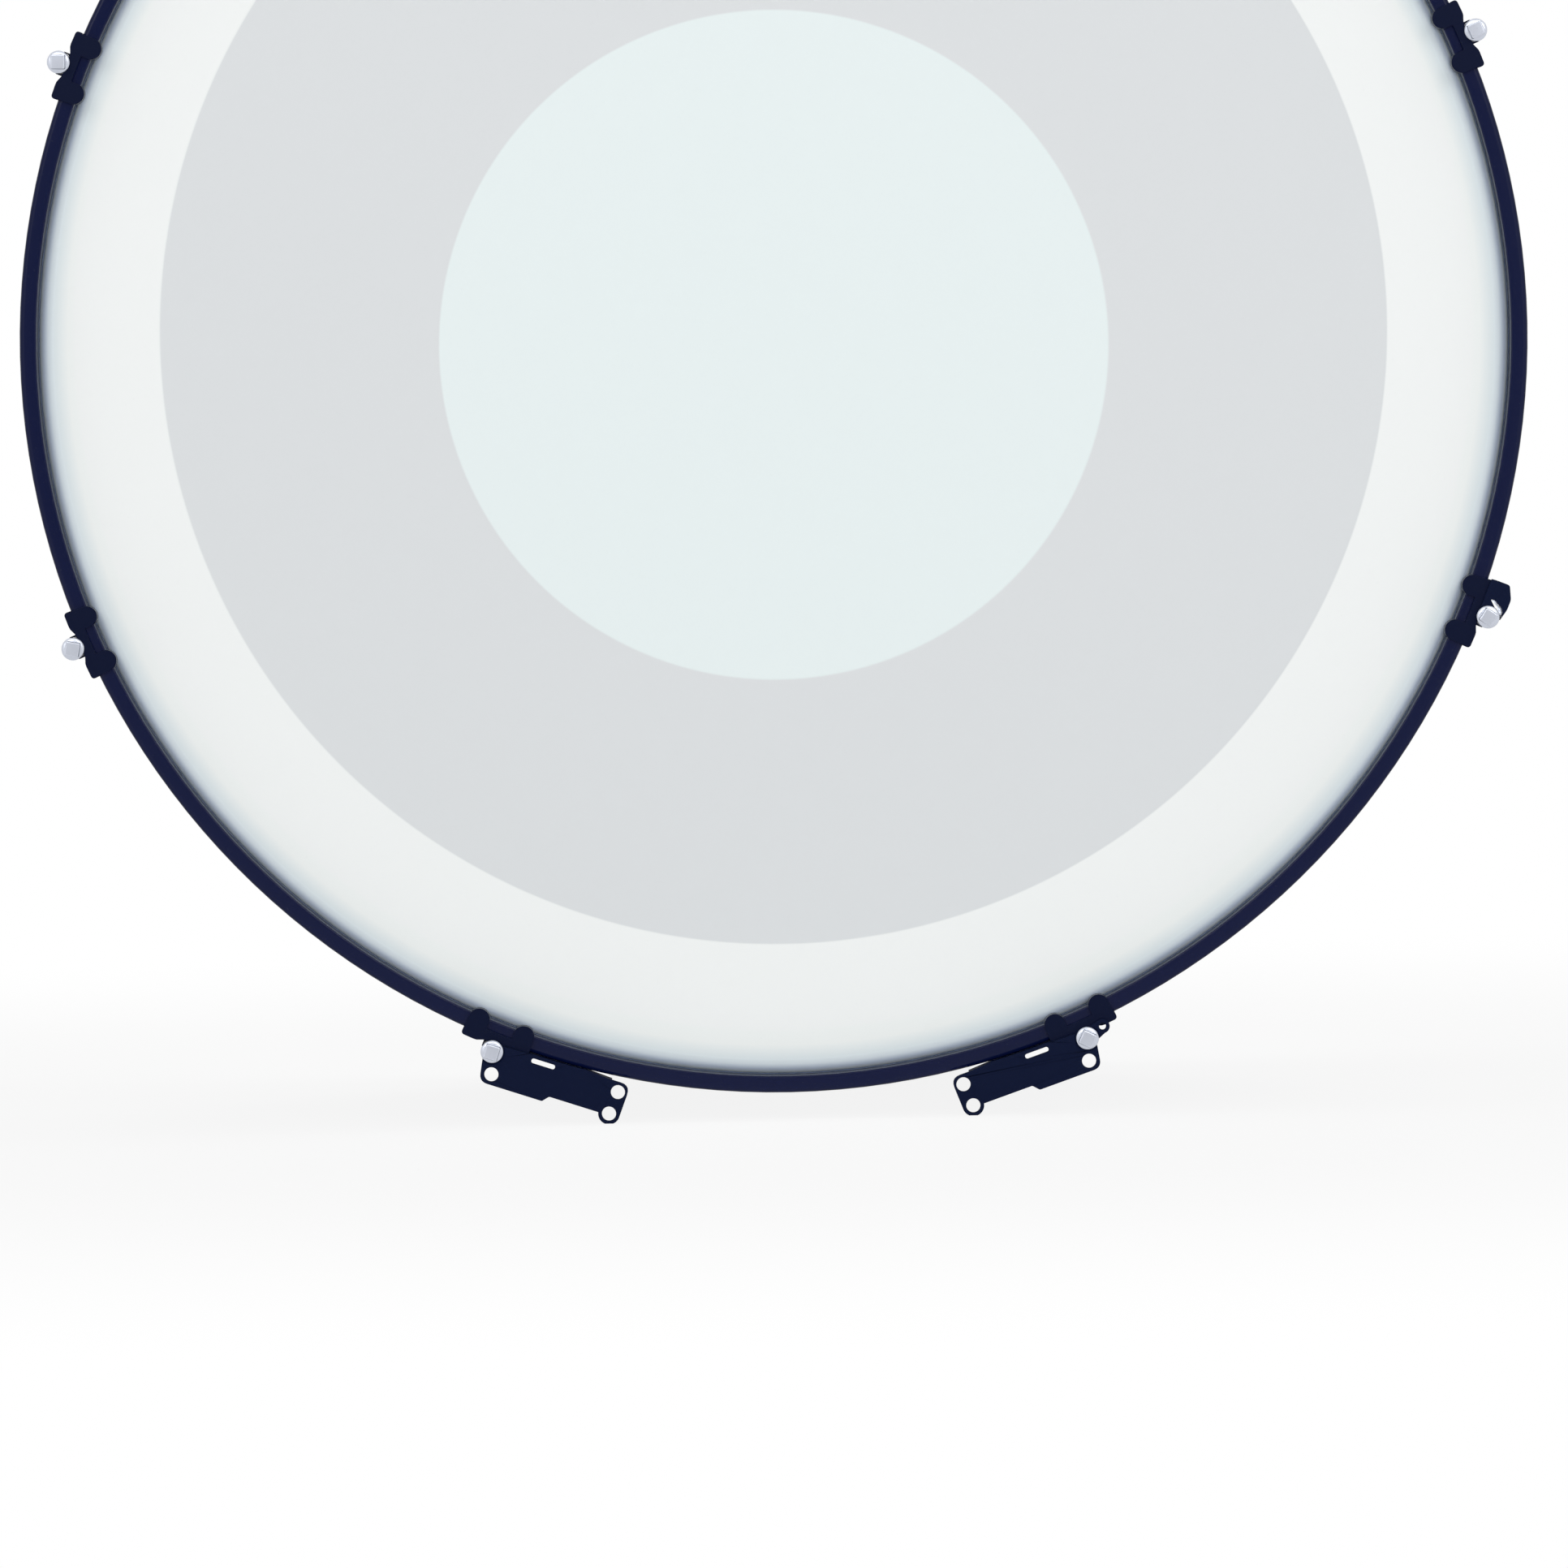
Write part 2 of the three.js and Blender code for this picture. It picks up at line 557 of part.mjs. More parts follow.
// Carrier plate: a cast plate clamped under a rod's flange, its rib resting on the hoop.
// Its places are given with X towards the bottom of the drum, and hand -1 turns them about.
function plateGeometry(hand, withEye) {
  const rod = [-PLATE_ROD_PLACE * hand, ROD_CIRCLE * Math.cos(PLATE_TURN)];
  const at = ([x, drop]) => [x * hand, PLATE_EDGE + drop];
  let plate = solid(extrude(plateOutline(hand), PLATE_BACK, PLATE_FRONT));
  const lobe = barAlongZ(LOBE_RADIUS, PLATE_BACK, PLATE_FRONT, ...at(INNER_LOW_HOLE), 2 * ROUND_FACETS);
  const ribLength = PLATE_THICKNESS + RIB_DEPTH;
  const rib = new THREE.BoxGeometry(RIB_LENGTH, SLOT_DROP, ribLength);
  const ribMiddle = SLOT_START + RIB_LENGTH / 2;
  rib.translate(ribMiddle * hand, PLATE_EDGE + SLOT_DROP / 2, PLATE_FRONT - ribLength / 2);
  plate = plate.add(solid(lobe)).add(solid(rib));
  if (withEye) plate = addEye(plate, hand, rod);
  for (const [x, y] of [OUTER_LOW_HOLE, INNER_HIGH_HOLE, INNER_LOW_HOLE].map(at)) {
    plate = plate.subtract(throughPlate(PLATE_HOLE_RADIUS, x, y));
  }
  const seat = barAlongZ(PLATE_SEAT_RADIUS, PLATE_SEAT, PLATE_FRONT + OVERRUN, ...rod);
  plate = plate.subtract(throughPlate(BORE_RADIUS, ...rod)).subtract(solid(seat));
  return surface(plate.subtract(slotCut(hand)).subtract(groundCut(hand)));
}

function plateOutline(hand) {
  const bottom = PLATE_EDGE + PLATE_HEIGHT;
  const corners = [
    [-PLATE_ROD_PLACE - PLATE_TOP_MARGIN, PLATE_EDGE, PLATE_CORNER],
    [-PLATE_OUTER_NECK, PLATE_EDGE + PLATE_NECK_DROP, PLATE_SMALL_CORNER],
    [-PLATE_OUTER_END, bottom, PLATE_CORNER],
    [PLATE_STEP_START, bottom, PLATE_SMALL_CORNER],
    [PLATE_STEP_END, bottom - PLATE_STEP, PLATE_SMALL_CORNER],
    [INNER_LOW_HOLE[0], bottom - PLATE_STEP, 0],
    [INNER_LOW_HOLE[0] + LOBE_RADIUS, PLATE_EDGE + INNER_LOW_HOLE[1], 0],
    [INNER_HIGH_HOLE[0] + INNER_HIGH_HOLE[1], PLATE_EDGE, INNER_HIGH_HOLE[1]],
  ];
  return roundedOutline(corners.map(([x, y, rounding]) => [x * hand, y, rounding]));
}

// A small eye on a web that runs out from the rod's hole
function addEye(plate, hand, [rodX, rodY]) {
  const turn = PLATE_TURN + EYE_OUT / ROD_CIRCLE;
  const eyeX = -(ROD_CIRCLE - EYE_RISE) * Math.sin(turn) * hand;
  const eyeY = (ROD_CIRCLE - EYE_RISE) * Math.cos(turn);
  const web = new THREE.Shape();
  web.moveTo(eyeX, eyeY - EYE_RADIUS);
  web.lineTo(rodX, PLATE_EDGE);
  web.lineTo(rodX, 2 * rodY - PLATE_EDGE);
  web.lineTo(eyeX, eyeY + EYE_RADIUS);
  web.closePath();
  const eye = solid(barAlongZ(EYE_RADIUS, PLATE_BACK, PLATE_FRONT, eyeX, eyeY));
  return plate.add(solid(extrude(web, PLATE_BACK, PLATE_FRONT))).add(eye)
    .subtract(throughPlate(EYE_HOLE_RADIUS, eyeX, eyeY));
}

function throughPlate(radius, x, y) {
  return solid(barAlongZ(radius, PLATE_BACK - OVERRUN, PLATE_FRONT + OVERRUN, x, y));
}

function slotCut(hand) {
  const top = PLATE_EDGE + SLOT_DROP;
  const bottom = top + SLOT_WIDTH;
  const end = SLOT_START + SLOT_LENGTH;
  const corners = [[SLOT_START, top], [end, top], [end, bottom], [SLOT_START, bottom]];
  const slot = roundedOutline(corners.map(([x, y]) => [x * hand, y, SLOT_WIDTH / 2]));
  return solid(extrude(slot, PLATE_BACK - OVERRUN, PLATE_FRONT + OVERRUN));
}

// How far below the drum's axis a carrier plate's lobe reaches before it is cut flat
function lobeDepth() {
  const tilt = THREE.MathUtils.degToRad(PLATE_HALF_ANGLE);
  const [x, drop] = INNER_LOW_HOLE;
  return (PLATE_EDGE + drop) * Math.cos(tilt) + x * Math.sin(tilt) + LOBE_RADIUS;
}

// Everything lower than the level on which the drum stands
function groundCut(hand) {
  const size = 2 * LOBE_RADIUS;
  const tilt = THREE.MathUtils.degToRad(PLATE_HALF_ANGLE);
  const [x, drop] = INNER_LOW_HOLE;
  const across = x * Math.cos(tilt) - (PLATE_EDGE + drop) * Math.sin(tilt);
  const block = new THREE.BoxGeometry(2 * size, size, PLATE_THICKNESS + 2 * OVERRUN);
  block.translate(across * hand, STAND_HEIGHT + size / 2, (PLATE_BACK + PLATE_FRONT) / 2);
  return solid(block.rotateZ(-tilt * hand));
}

// Sling hook: a clip under one rod's flange whose deep crook curls out over the rod's head
function hookGeometry() {
  const root = CLAW_OUTER - CLAW_WAIST_WALL * 2;
  const crook = [
    [-HOOK_BACK, ROD_CIRCLE + HOOK_BACK_TOP, HOOK_CORNER],
    [-HOOK_BACK + HOOK_CREST, ROD_CIRCLE + HOOK_TOP, HOOK_CORNER],
    [-HOOK_CREST, ROD_CIRCLE + HOOK_TOP, HOOK_CORNER],
    [-HOOK_TIP, ROD_CIRCLE + HOOK_TIP_RISE, 0],
    [-HOOK_CREST + HOOK_TIP_WIDTH, ROD_CIRCLE + HOOK_TIP_RISE, HOOK_CORNER],
    [-HOOK_CREST, ROD_CIRCLE + HOOK_CREST_RISE, HOOK_CORNER],
    [-HOOK_THROAT, ROD_CIRCLE - HOOK_THROAT_RISE, HOOK_CORNER],
  ];
  const clear = CLAW_OUTER + HOOK_CLAW_GAP;
  const deep = roundedOutline([...crook, [-HOOK_ROOT, clear, 0], [-HOOK_BACK, clear, 0]]);
  const arm = roundedOutline([
    [-HOOK_BACK, ROD_CIRCLE, 0],
    [-HOOK_BACK, root, PLATE_SMALL_CORNER],
    [0, root, 0],
    [0, CLAW_OUTER, 0],
    [-HOOK_THROAT, CLAW_OUTER, HOOK_CORNER],
    [-HOOK_THROAT, ROD_CIRCLE, 0],
  ]);
  let hook = solid(extrude(deep, PLATE_SEAT - HOOK_DEPTH, PLATE_SEAT));
  hook = hook.add(solid(extrude(arm, PLATE_BACK, PLATE_SEAT)));
  hook = hook.add(solid(barAlongZ(BARREL_RADIUS, PLATE_BACK, PLATE_SEAT, 0, ROD_CIRCLE)));
  return surface(hook.subtract(throughPlate(BORE_RADIUS, 0, ROD_CIRCLE)));
}

// The drum: rings round the axis, then the fittings at each station
const drum = new THREE.Group();
drum.position.z = STAND_HEIGHT;
drum.add(piece('shell', shellGeometry(), shellLacquer));
const vent = stationFrame(TOP, REAR);
vent.add(piece('vent_eyelet', ventGeometry(), chrome));
drum.add(vent);
for (const [end, side] of [['front', FRONT], ['rear', REAR]]) {
  drum.add(rim(`hoop_${end}`, side, hoopGeometry(), lacquer));
  drum.add(rim(`head_film_${end}`, side, filmGeometry(), clearFilm));
  drum.add(rim(`flesh_hoop_${end}`, side, fleshHoopGeometry(), aluminium));
  drum.add(rim(`centre_patch_${end}`, side, patchGeometry(), patchFilm, -PATCH_DROP));
  drum.add(rim(`damping_ring_${end}`, side, damperGeometry(), foam, DAMPER_RISE));
  STATIONS.forEach((angle, i) => {
    const frame = stationFrame(angle, side);
    const holdsHook = side === FRONT && i === HOOK_STATION;
    const clamps = holdsHook || [LEFT_CARRIER_STATION, RIGHT_CARRIER_STATION].includes(i);
    const rod = piece(`tension_rod_${end}_${i + 1}`, rodGeometry(), chrome);
    rod.position.set(0, ROD_CIRCLE, (clamps ? PLATE_SEAT : CLAW_FRONT) + FIT_GAP);
    rod.rotation.z = i * THREE.MathUtils.degToRad(ROD_TURN);
    frame.add(piece(`claw_${end}_${i + 1}`, clawGeometry(), blackCasting));
    frame.add(rod);
    if (holdsHook) frame.add(piece('sling_hook', hookGeometry(), blackSteel));
    if (side === REAR) frame.add(piece(`lug_${i + 1}`, lugGeometry(), blackCasting));
    drum.add(frame);
  });
  for (const [hand, label] of [[1, 'right'], [-1, 'left']]) {
    const frame = stationFrame(BOTTOM + hand * PLATE_HALF_ANGLE, side);
    const withEye = side === FRONT && hand === 1;
    const geometry = plateGeometry(hand * -side, withEye);
    frame.add(piece(`carrier_plate_${end}_${label}`, geometry, blackSteel));
    drum.add(frame);
  }
}

export default drum;
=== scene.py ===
import math

import bpy
from mathutils import Matrix, Vector


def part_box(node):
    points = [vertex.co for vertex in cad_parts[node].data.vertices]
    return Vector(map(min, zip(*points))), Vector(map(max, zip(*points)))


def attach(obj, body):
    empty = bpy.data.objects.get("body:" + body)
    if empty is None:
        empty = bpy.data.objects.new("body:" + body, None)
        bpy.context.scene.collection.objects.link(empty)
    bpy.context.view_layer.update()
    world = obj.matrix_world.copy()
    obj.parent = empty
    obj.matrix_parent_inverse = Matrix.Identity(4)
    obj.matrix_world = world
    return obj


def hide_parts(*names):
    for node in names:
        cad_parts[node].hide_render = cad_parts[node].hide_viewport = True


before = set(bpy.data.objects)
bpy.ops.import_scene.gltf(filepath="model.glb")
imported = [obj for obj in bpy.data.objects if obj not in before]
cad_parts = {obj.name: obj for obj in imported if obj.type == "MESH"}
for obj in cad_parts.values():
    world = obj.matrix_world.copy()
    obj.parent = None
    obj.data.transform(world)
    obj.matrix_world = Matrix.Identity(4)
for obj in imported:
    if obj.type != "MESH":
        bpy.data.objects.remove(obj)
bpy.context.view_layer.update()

# Shell
# The shell is a tube of bent maple plies. Both ends are cut to a bearing edge, over which a head is
# drawn, and the outside is sprayed with dark navy lacquer. A hole at the top takes the air vent.
MM = 0.001
MERGE = 0.002 * MM  # points nearer to each other than this become one
ROUND = 192  # steps in what goes round the drum
SHELL_RADIUS = 355.6
SHELL_INSIDE = SHELL_RADIUS - 7.0
SHELL_END = 177.8  # half the shell's depth, at the crest of a bearing edge
CREST_RADIUS = SHELL_RADIUS - 3.1
CREST_ROUNDING = 3.2
CREST_WIDTH = 0.8
OUTER_DROP, CREST_DROP, INNER_DROP = 2.2, 0.3, 2.9  # how far the edge's corners lie below its crest
LACQUER_WRAP = 0.6  # how far the lacquer reaches in over the bearing edge
VENT_HOLE = 6.5
VENT_HOLE_REACH = 340, 360  # the drill's start and end, clear of the wall
shell_low, shell_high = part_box("shell")
DRUM_CENTRE = (shell_low + shell_high) / 2


def clear_selection():
    """Leaves nothing selected."""
    bpy.ops.object.select_all(action="DESELECT")


def take(piece):
    """Makes a piece the only selected one and the active one."""
    clear_selection()
    piece.select_set(True)
    bpy.context.view_layer.objects.active = piece


def open_mesh(piece):
    """Opens a piece in edit mode with all of it selected."""
    take(piece)
    bpy.ops.object.mode_set(mode="EDIT")
    bpy.ops.mesh.select_all(action="SELECT")


def close_mesh():
    """Turns the open piece's faces outwards, leaves edit mode and returns the piece."""
    bpy.ops.mesh.select_all(action="SELECT")
    bpy.ops.mesh.normals_make_consistent(inside=False)
    bpy.ops.object.mode_set(mode="OBJECT")
    return bpy.context.object


def chain(name, points, closed=True):
    """A line of vertices drawn from point to point, in millimetres, left open in edit mode."""
    clear_selection()
    bpy.ops.mesh.primitive_plane_add(size=MM, location=(0, 0, 0))
    piece = bpy.context.object
    piece.name = name
    open_mesh(piece)
    bpy.ops.mesh.merge(type="CENTER")
    points = [Vector(p) * MM for p in points]
    bpy.ops.transform.translate(value=points[0])
    for start, end in zip(points, points[1:]):
        bpy.ops.mesh.extrude_region_move(TRANSFORM_OT_translate={"value": end - start})
    if closed:
        bpy.ops.mesh.select_all(action="SELECT")
        bpy.ops.mesh.edge_face_add()
        bpy.ops.mesh.delete(type="ONLY_FACE")
    return piece


def turned(name, profile, steps=ROUND, closed=True, axis=(0, 1, 0)):
    """Turns a profile of (radius, height) in millimetres about the axis."""
    along = Vector(axis)
    out = Vector((1, 0, 0))
    chain(name, [out * r + along * h for r, h in profile], closed)
    bpy.ops.mesh.select_all(action="SELECT")
    bpy.ops.mesh.spin(steps=steps, angle=math.tau, center=(0, 0, 0), axis=axis)
    bpy.ops.mesh.select_all(action="SELECT")
    bpy.ops.mesh.remove_doubles(threshold=MERGE)
    return close_mesh()


def use(piece, kind, **settings):
    """Adds a modifier with these settings and applies it."""
    take(piece)
    bpy.ops.object.modifier_add(type=kind)
    modifier = piece.modifiers[-1]
    for key, value in settings.items():
        setattr(modifier, key, value)
    bpy.ops.object.modifier_apply(modifier=modifier.name)
    return piece


def cleared(piece):
    """Merges the doubled points and flush faces that cutting and joining leave."""
    doubled, sliver, flush = 0.02 * MM, 0.004 * MM, math.radians(0.5)
    open_mesh(piece)
    bpy.ops.mesh.remove_doubles(threshold=doubled)
    bpy.ops.mesh.dissolve_degenerate(threshold=sliver)
    bpy.ops.mesh.select_all(action="SELECT")
    bpy.ops.mesh.dissolve_limited(angle_limit=flush, use_dissolve_boundaries=False)
    bpy.ops.mesh.select_all(action="SELECT")
    bpy.ops.mesh.quads_convert_to_tris(quad_method="BEAUTY", ngon_method="BEAUTY")
    return close_mesh()


def smooth(piece, angle=32):
    """Shades soft edges smooth, and keeps large flat faces flat beside them."""
    take(piece)
    bpy.ops.object.shade_smooth_by_angle(angle=math.radians(angle))
    return use(piece, "WEIGHTED_NORMAL", keep_sharp=True, weight=90)


def cut_with(piece, tool, operation="DIFFERENCE"):
    """Joins, cuts or crosses a piece with a tool, which is used up."""
    use(piece, "BOOLEAN", operation=operation, object=tool, solver="EXACT")
    bpy.data.objects.remove(tool)
    return piece


def rod_of(name, radius, start, end, place=(0, 0), vertices=48):
    """A round bar along Z from start to end, in millimetres."""
    clear_selection()
    bpy.ops.mesh.primitive_cylinder_add(
        radius=radius * MM, depth=(end - start) * MM, vertices=vertices,
        location=Vector((*place, (start + end) / 2)) * MM)
    piece = bpy.context.object
    piece.name = name
    bpy.ops.object.transform_apply(location=True, rotation=True, scale=True)
    return piece


def put(piece, matrix):
    """Moves a piece to its place, and keeps that place in its mesh."""
    take(piece)
    piece.matrix_world = matrix
    bpy.ops.object.transform_apply(location=True, rotation=True, scale=True)
    return piece


def arc(centre, radius, start, end, steps):
    """Points along an arc in a plane, angles in degrees."""
    turns = [math.radians(start + (end - start) * i / steps) for i in range(steps + 1)]
    return [(centre[0] + radius * math.cos(t), centre[1] + radius * math.sin(t)) for t in turns]


bearing_edge = [
    (SHELL_RADIUS, SHELL_END - OUTER_DROP),
    *arc((CREST_RADIUS, SHELL_END - CREST_ROUNDING), CREST_ROUNDING, 45, 90, 7),
    (CREST_RADIUS - CREST_WIDTH, SHELL_END - CREST_DROP),
    (SHELL_INSIDE, SHELL_END - INNER_DROP)]
shell = turned("ply_shell", bearing_edge + [(r, -y) for r, y in reversed(bearing_edge)])
cut_with(shell, rod_of("vent_hole", VENT_HOLE, *VENT_HOLE_REACH))
put(cleared(shell), Matrix.Translation(DRUM_CENTRE))
smooth(shell)


def feed(tree, target, inputs):
    """Gives a node's inputs numbers, colours or other nodes' results."""
    for socket, value in inputs.items():
        if isinstance(value, bpy.types.NodeSocket):
            tree.links.new(value, target.inputs[socket])
        else:
            target.inputs[socket].default_value = value


def node(tree, kind, inputs, **settings):
    """Adds a node with these settings and inputs."""
    made = tree.nodes.new(kind)
    for key, value in settings.items():
        setattr(made, key, value)
    feed(tree, made, inputs)
    return made


def reckon(tree, operation, *values):
    """Adds a sum of numbers and other nodes' results, and gives its own result."""
    return node(tree, "ShaderNodeMath", dict(enumerate(values)), operation=operation).outputs[0]


def speckle_group():
    """Fine uneven gloss and a soft ripple, as sprayed lacquer and cast paint have them."""
    tree = bpy.data.node_groups.new("sprayed_surface", "ShaderNodeTree")
    face = tree.interface
    face.new_socket("Vector", in_out="INPUT", socket_type="NodeSocketVector")
    for label, value in (("Ripple Scale", 60.0), ("Roughness", 0.3), ("Unevenness", 0.1), ("Dust", 0.1)):
        face.new_socket(label, in_out="INPUT", socket_type="NodeSocketFloat").default_value = value
    for label in ("Roughness", "Ripple", "Dust"):
        face.new_socket(label, in_out="OUTPUT", socket_type="NodeSocketFloat")
    start = tree.nodes.new("NodeGroupInput").outputs
    where = start["Vector"]
    ripple = node(tree, "ShaderNodeTexNoise", {"Vector": where, "Scale": start["Ripple Scale"], "Detail": 3})
    patches = node(tree, "ShaderNodeTexNoise", {"Vector": where, "Scale": 9, "Detail": 5})
    centred = reckon(tree, "SUBTRACT", patches.outputs["Fac"], 0.5)
    rough = reckon(tree, "MULTIPLY_ADD", centred, start["Unevenness"], start["Roughness"])
    grit = node(tree, "ShaderNodeTexNoise", {"Vector": where, "Scale": 900, "Detail": 2})
    specks = node(tree, "ShaderNodeMapRange", {
        "Value": grit.outputs["Fac"], "From Min": 0.66, "From Max": 0.78})
    dust = reckon(tree, "MULTIPLY", specks.outputs["Result"], start["Dust"])
    feed(tree, tree.nodes.new("NodeGroupOutput"), {
        "Roughness": rough, "Ripple": ripple.outputs["Fac"], "Dust": dust})
    return tree


SPRAYED = speckle_group()


def material(name, **plain):
    """A new material, its nodes and its Principled shader, whose constant values plain gives."""
    made = bpy.data.materials.new(name)
    made.use_nodes = True
    shader = made.node_tree.nodes["Principled BSDF"]
    feed(made.node_tree, shader, {label.replace("_", " "): value for label, value in plain.items()})
    return made, made.node_tree, shader


def coat(tree, shader, colour, dust_colour, roughness, unevenness, dust, ripple_scale, ripple_height):
    """Gives a shader its colour, under the speckled surface of its coat."""
    where = tree.nodes.new("ShaderNodeTexCoord")
    surface = node(tree, "ShaderNodeGroup", {
        "Vector": where.outputs["Object"], "Ripple Scale": ripple_scale, "Roughness": roughness,
        "Unevenness": unevenness, "Dust": dust}, node_tree=SPRAYED).outputs
    tint = node(tree, "ShaderNodeMix", {
        "Factor": surface["Dust"], "A": colour, "B": (*dust_colour, 1)}, data_type="RGBA")
    bump = node(tree, "ShaderNodeBump", {
        "Height": surface["Ripple"], "Strength": 1, "Distance": ripple_height * MM})
    feed(tree, shader, {
        "Base Color": tint.outputs["Result"], "Roughness": surface["Roughness"],
        "Normal": bump.outputs["Normal"]})


def sprayed(name, colour, dust_colour, roughness, unevenness, dust, ripple_scale, ripple_height, **plain):
    """A finish of one colour: plain gives the shader's constant values."""
    made, tree, shader = material(name, **plain)
    coat(tree, shader, (*colour, 1), dust_colour, roughness, unevenness, dust, ripple_scale, ripple_height)
    return made


def dress(piece, finish, body, replaced):
    """Gives a piece its finish and its body, and hides the CAD node that it stands for."""
    piece.data.materials.clear()
    piece.data.materials.append(finish)
    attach(piece, body)
    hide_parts(replaced)


shell_lacquer = sprayed(
    "navy_shell_lacquer", colour=(0.0035, 0.006, 0.022), dust_colour=(0.02, 0.022, 0.03), roughness=0.2,
    unevenness=0.12, dust=0.35, ripple_scale=45, ripple_height=0.012, Specular_IOR_Level=0.35)
bare_maple, maple_tree, maple_shader = material("bare_maple", Roughness=0.6)
grain_place = maple_tree.nodes.new("ShaderNodeTexCoord")
grain_stretch = node(maple_tree, "ShaderNodeMapping", {
    "Vector": grain_place.outputs["Object"], "Scale": (18, 260, 18)})
grain = node(maple_tree, "ShaderNodeTexNoise", {
    "Vector": grain_stretch.outputs["Vector"], "Scale": 1, "Detail": 6})
grain_tone = node(maple_tree, "ShaderNodeValToRGB", {"Fac": grain.outputs["Fac"]})
grain_tone.color_ramp.elements[0].color = (0.42, 0.27, 0.14, 1)
grain_tone.color_ramp.elements[1].color = (0.62, 0.45, 0.27, 1)
feed(maple_tree, maple_shader, {"Base Color": grain_tone.outputs["Color"]})
dress(shell, shell_lacquer, "drum", "shell")
shell.data.materials.append(bare_maple)
for face in shell.data.polygons:
    middle = face.center - DRUM_CENTRE
    if math.hypot(middle.x, middle.z) < (SHELL_RADIUS - LACQUER_WRAP) * MM:
        face.material_index = 1

# Air vent
# A chromed brass eyelet through the shell at the top, its tube spread over a flange at each end.
# It lets air in and out when the heads are struck.
FRONT, REAR = -1, 1
FIT_GAP = 0.3  # what pieces that sit on each other keep between them
SHELL_SEAT = SHELL_RADIUS + FIT_GAP
VENT_PLACE = 90  # degrees round the drum
VENT_BORE, VENT_TUBE, VENT_FLANGE = 5.0, 6.2, 9.8  # radii
INNER_SEAT = SHELL_INSIDE - 1.1
INNER_FLANGE, OUTER_FLANGE = 0.9, 1.0  # thicknesses


def station(angle, side):
    """The place of a fitting: X runs round the drum, Y outwards and Z towards that end."""
    turn = math.radians(angle)
    outward = Vector((math.cos(turn), 0, math.sin(turn)))
    endward = Vector((0, side, 0))
    around = outward.cross(endward)
    place = Matrix((around, outward, endward)).transposed().to_4x4()
    return Matrix.Translation(DRUM_CENTRE) @ place


inner_flange = [
    (VENT_BORE, INNER_SEAT - INNER_FLANGE), (VENT_FLANGE - 0.2, INNER_SEAT - INNER_FLANGE),
    (VENT_FLANGE, INNER_SEAT - 0.6), (VENT_FLANGE, INNER_SEAT)]
outer_flange = [
    (VENT_FLANGE, SHELL_SEAT), (VENT_FLANGE - 0.1, SHELL_SEAT + 0.4), (VENT_FLANGE - 0.6, SHELL_SEAT + 0.8),
    (VENT_FLANGE - 1.6, SHELL_SEAT + OUTER_FLANGE), (VENT_TUBE, SHELL_SEAT + OUTER_FLANGE),
    (VENT_BORE + 0.3, SHELL_SEAT + 0.6), (VENT_BORE, SHELL_SEAT + 0.1)]
tube = [(VENT_TUBE, INNER_SEAT), (VENT_TUBE, SHELL_SEAT)]
vent = turned("air_vent", inner_flange + tube + outer_flange, steps=48)
put(vent, station(VENT_PLACE, REAR))
smooth(vent)
chrome = sprayed(
    "satin_chrome", colour=(0.60, 0.63, 0.71), dust_colour=(0.3, 0.3, 0.32), roughness=0.3,
    unevenness=0.06, dust=0.2, ripple_scale=160, ripple_height=0.004, Metallic=1.0)
dress(vent, chrome, "drum", "vent_eyelet")

# Flesh hoops
# Each head is held in a channel of blue-grey metal, a flesh hoop, that slides down outside the
# shell. It shows as a narrow band between the film and the counter hoop. Its colour is lighter and
# bluer than the metal's own: painted light, standing in for light that reaches into the groove.
ENDS = {"front": FRONT, "rear": REAR}
FLESH_INSIDE = SHELL_RADIUS + 2 * FIT_GAP
FLESH_OUTSIDE = FLESH_INSIDE + 6.0
FLESH_TOP = SHELL_END - 6.0
FLESH_FOOT = FLESH_TOP - 9.0
GROOVE_INSIDE, GROOVE_OUTSIDE = 358.5, 359.4
GROOVE_FLOOR = FLESH_TOP - 4.0


def end_place(side):
    """The place of a ring: the front end is the rear end turned half round about Z."""
    turn = Matrix.Rotation(math.pi if side == FRONT else 0, 4, "Z")
    return Matrix.Translation(DRUM_CENTRE) @ turn


# Painted light: the metal's colour is raised lighter and bluer, so that the deep groove inside the hoop looks
# lit.
flesh_metal_lightened = sprayed(
    "flesh_hoop_metal_painted_light", colour=(0.56, 0.69, 0.95), dust_colour=(0.3, 0.33, 0.37), roughness=0.42,
    unevenness=0.1, dust=0.3, ripple_scale=300, ripple_height=0.005, Metallic=0.2)
flesh_profile = [
    (FLESH_INSIDE, FLESH_FOOT), (FLESH_OUTSIDE, FLESH_FOOT), (FLESH_OUTSIDE, FLESH_TOP - 1.2),
    (FLESH_OUTSIDE - 0.3, FLESH_TOP - 0.5), (FLESH_OUTSIDE - 1.1, FLESH_TOP), (GROOVE_OUTSIDE, FLESH_TOP),
    (GROOVE_OUTSIDE, GROOVE_FLOOR), (GROOVE_INSIDE, GROOVE_FLOOR), (GROOVE_INSIDE, FLESH_TOP),
    (FLESH_INSIDE, FLESH_TOP)]
for end, side in ENDS.items():
    ring = turned(f"{end}_flesh_hoop", flesh_profile)
    put(ring, end_place(side))
    smooth(ring)
    dress(ring, flesh_metal_lightened, "drum", f"flesh_hoop_{end}")

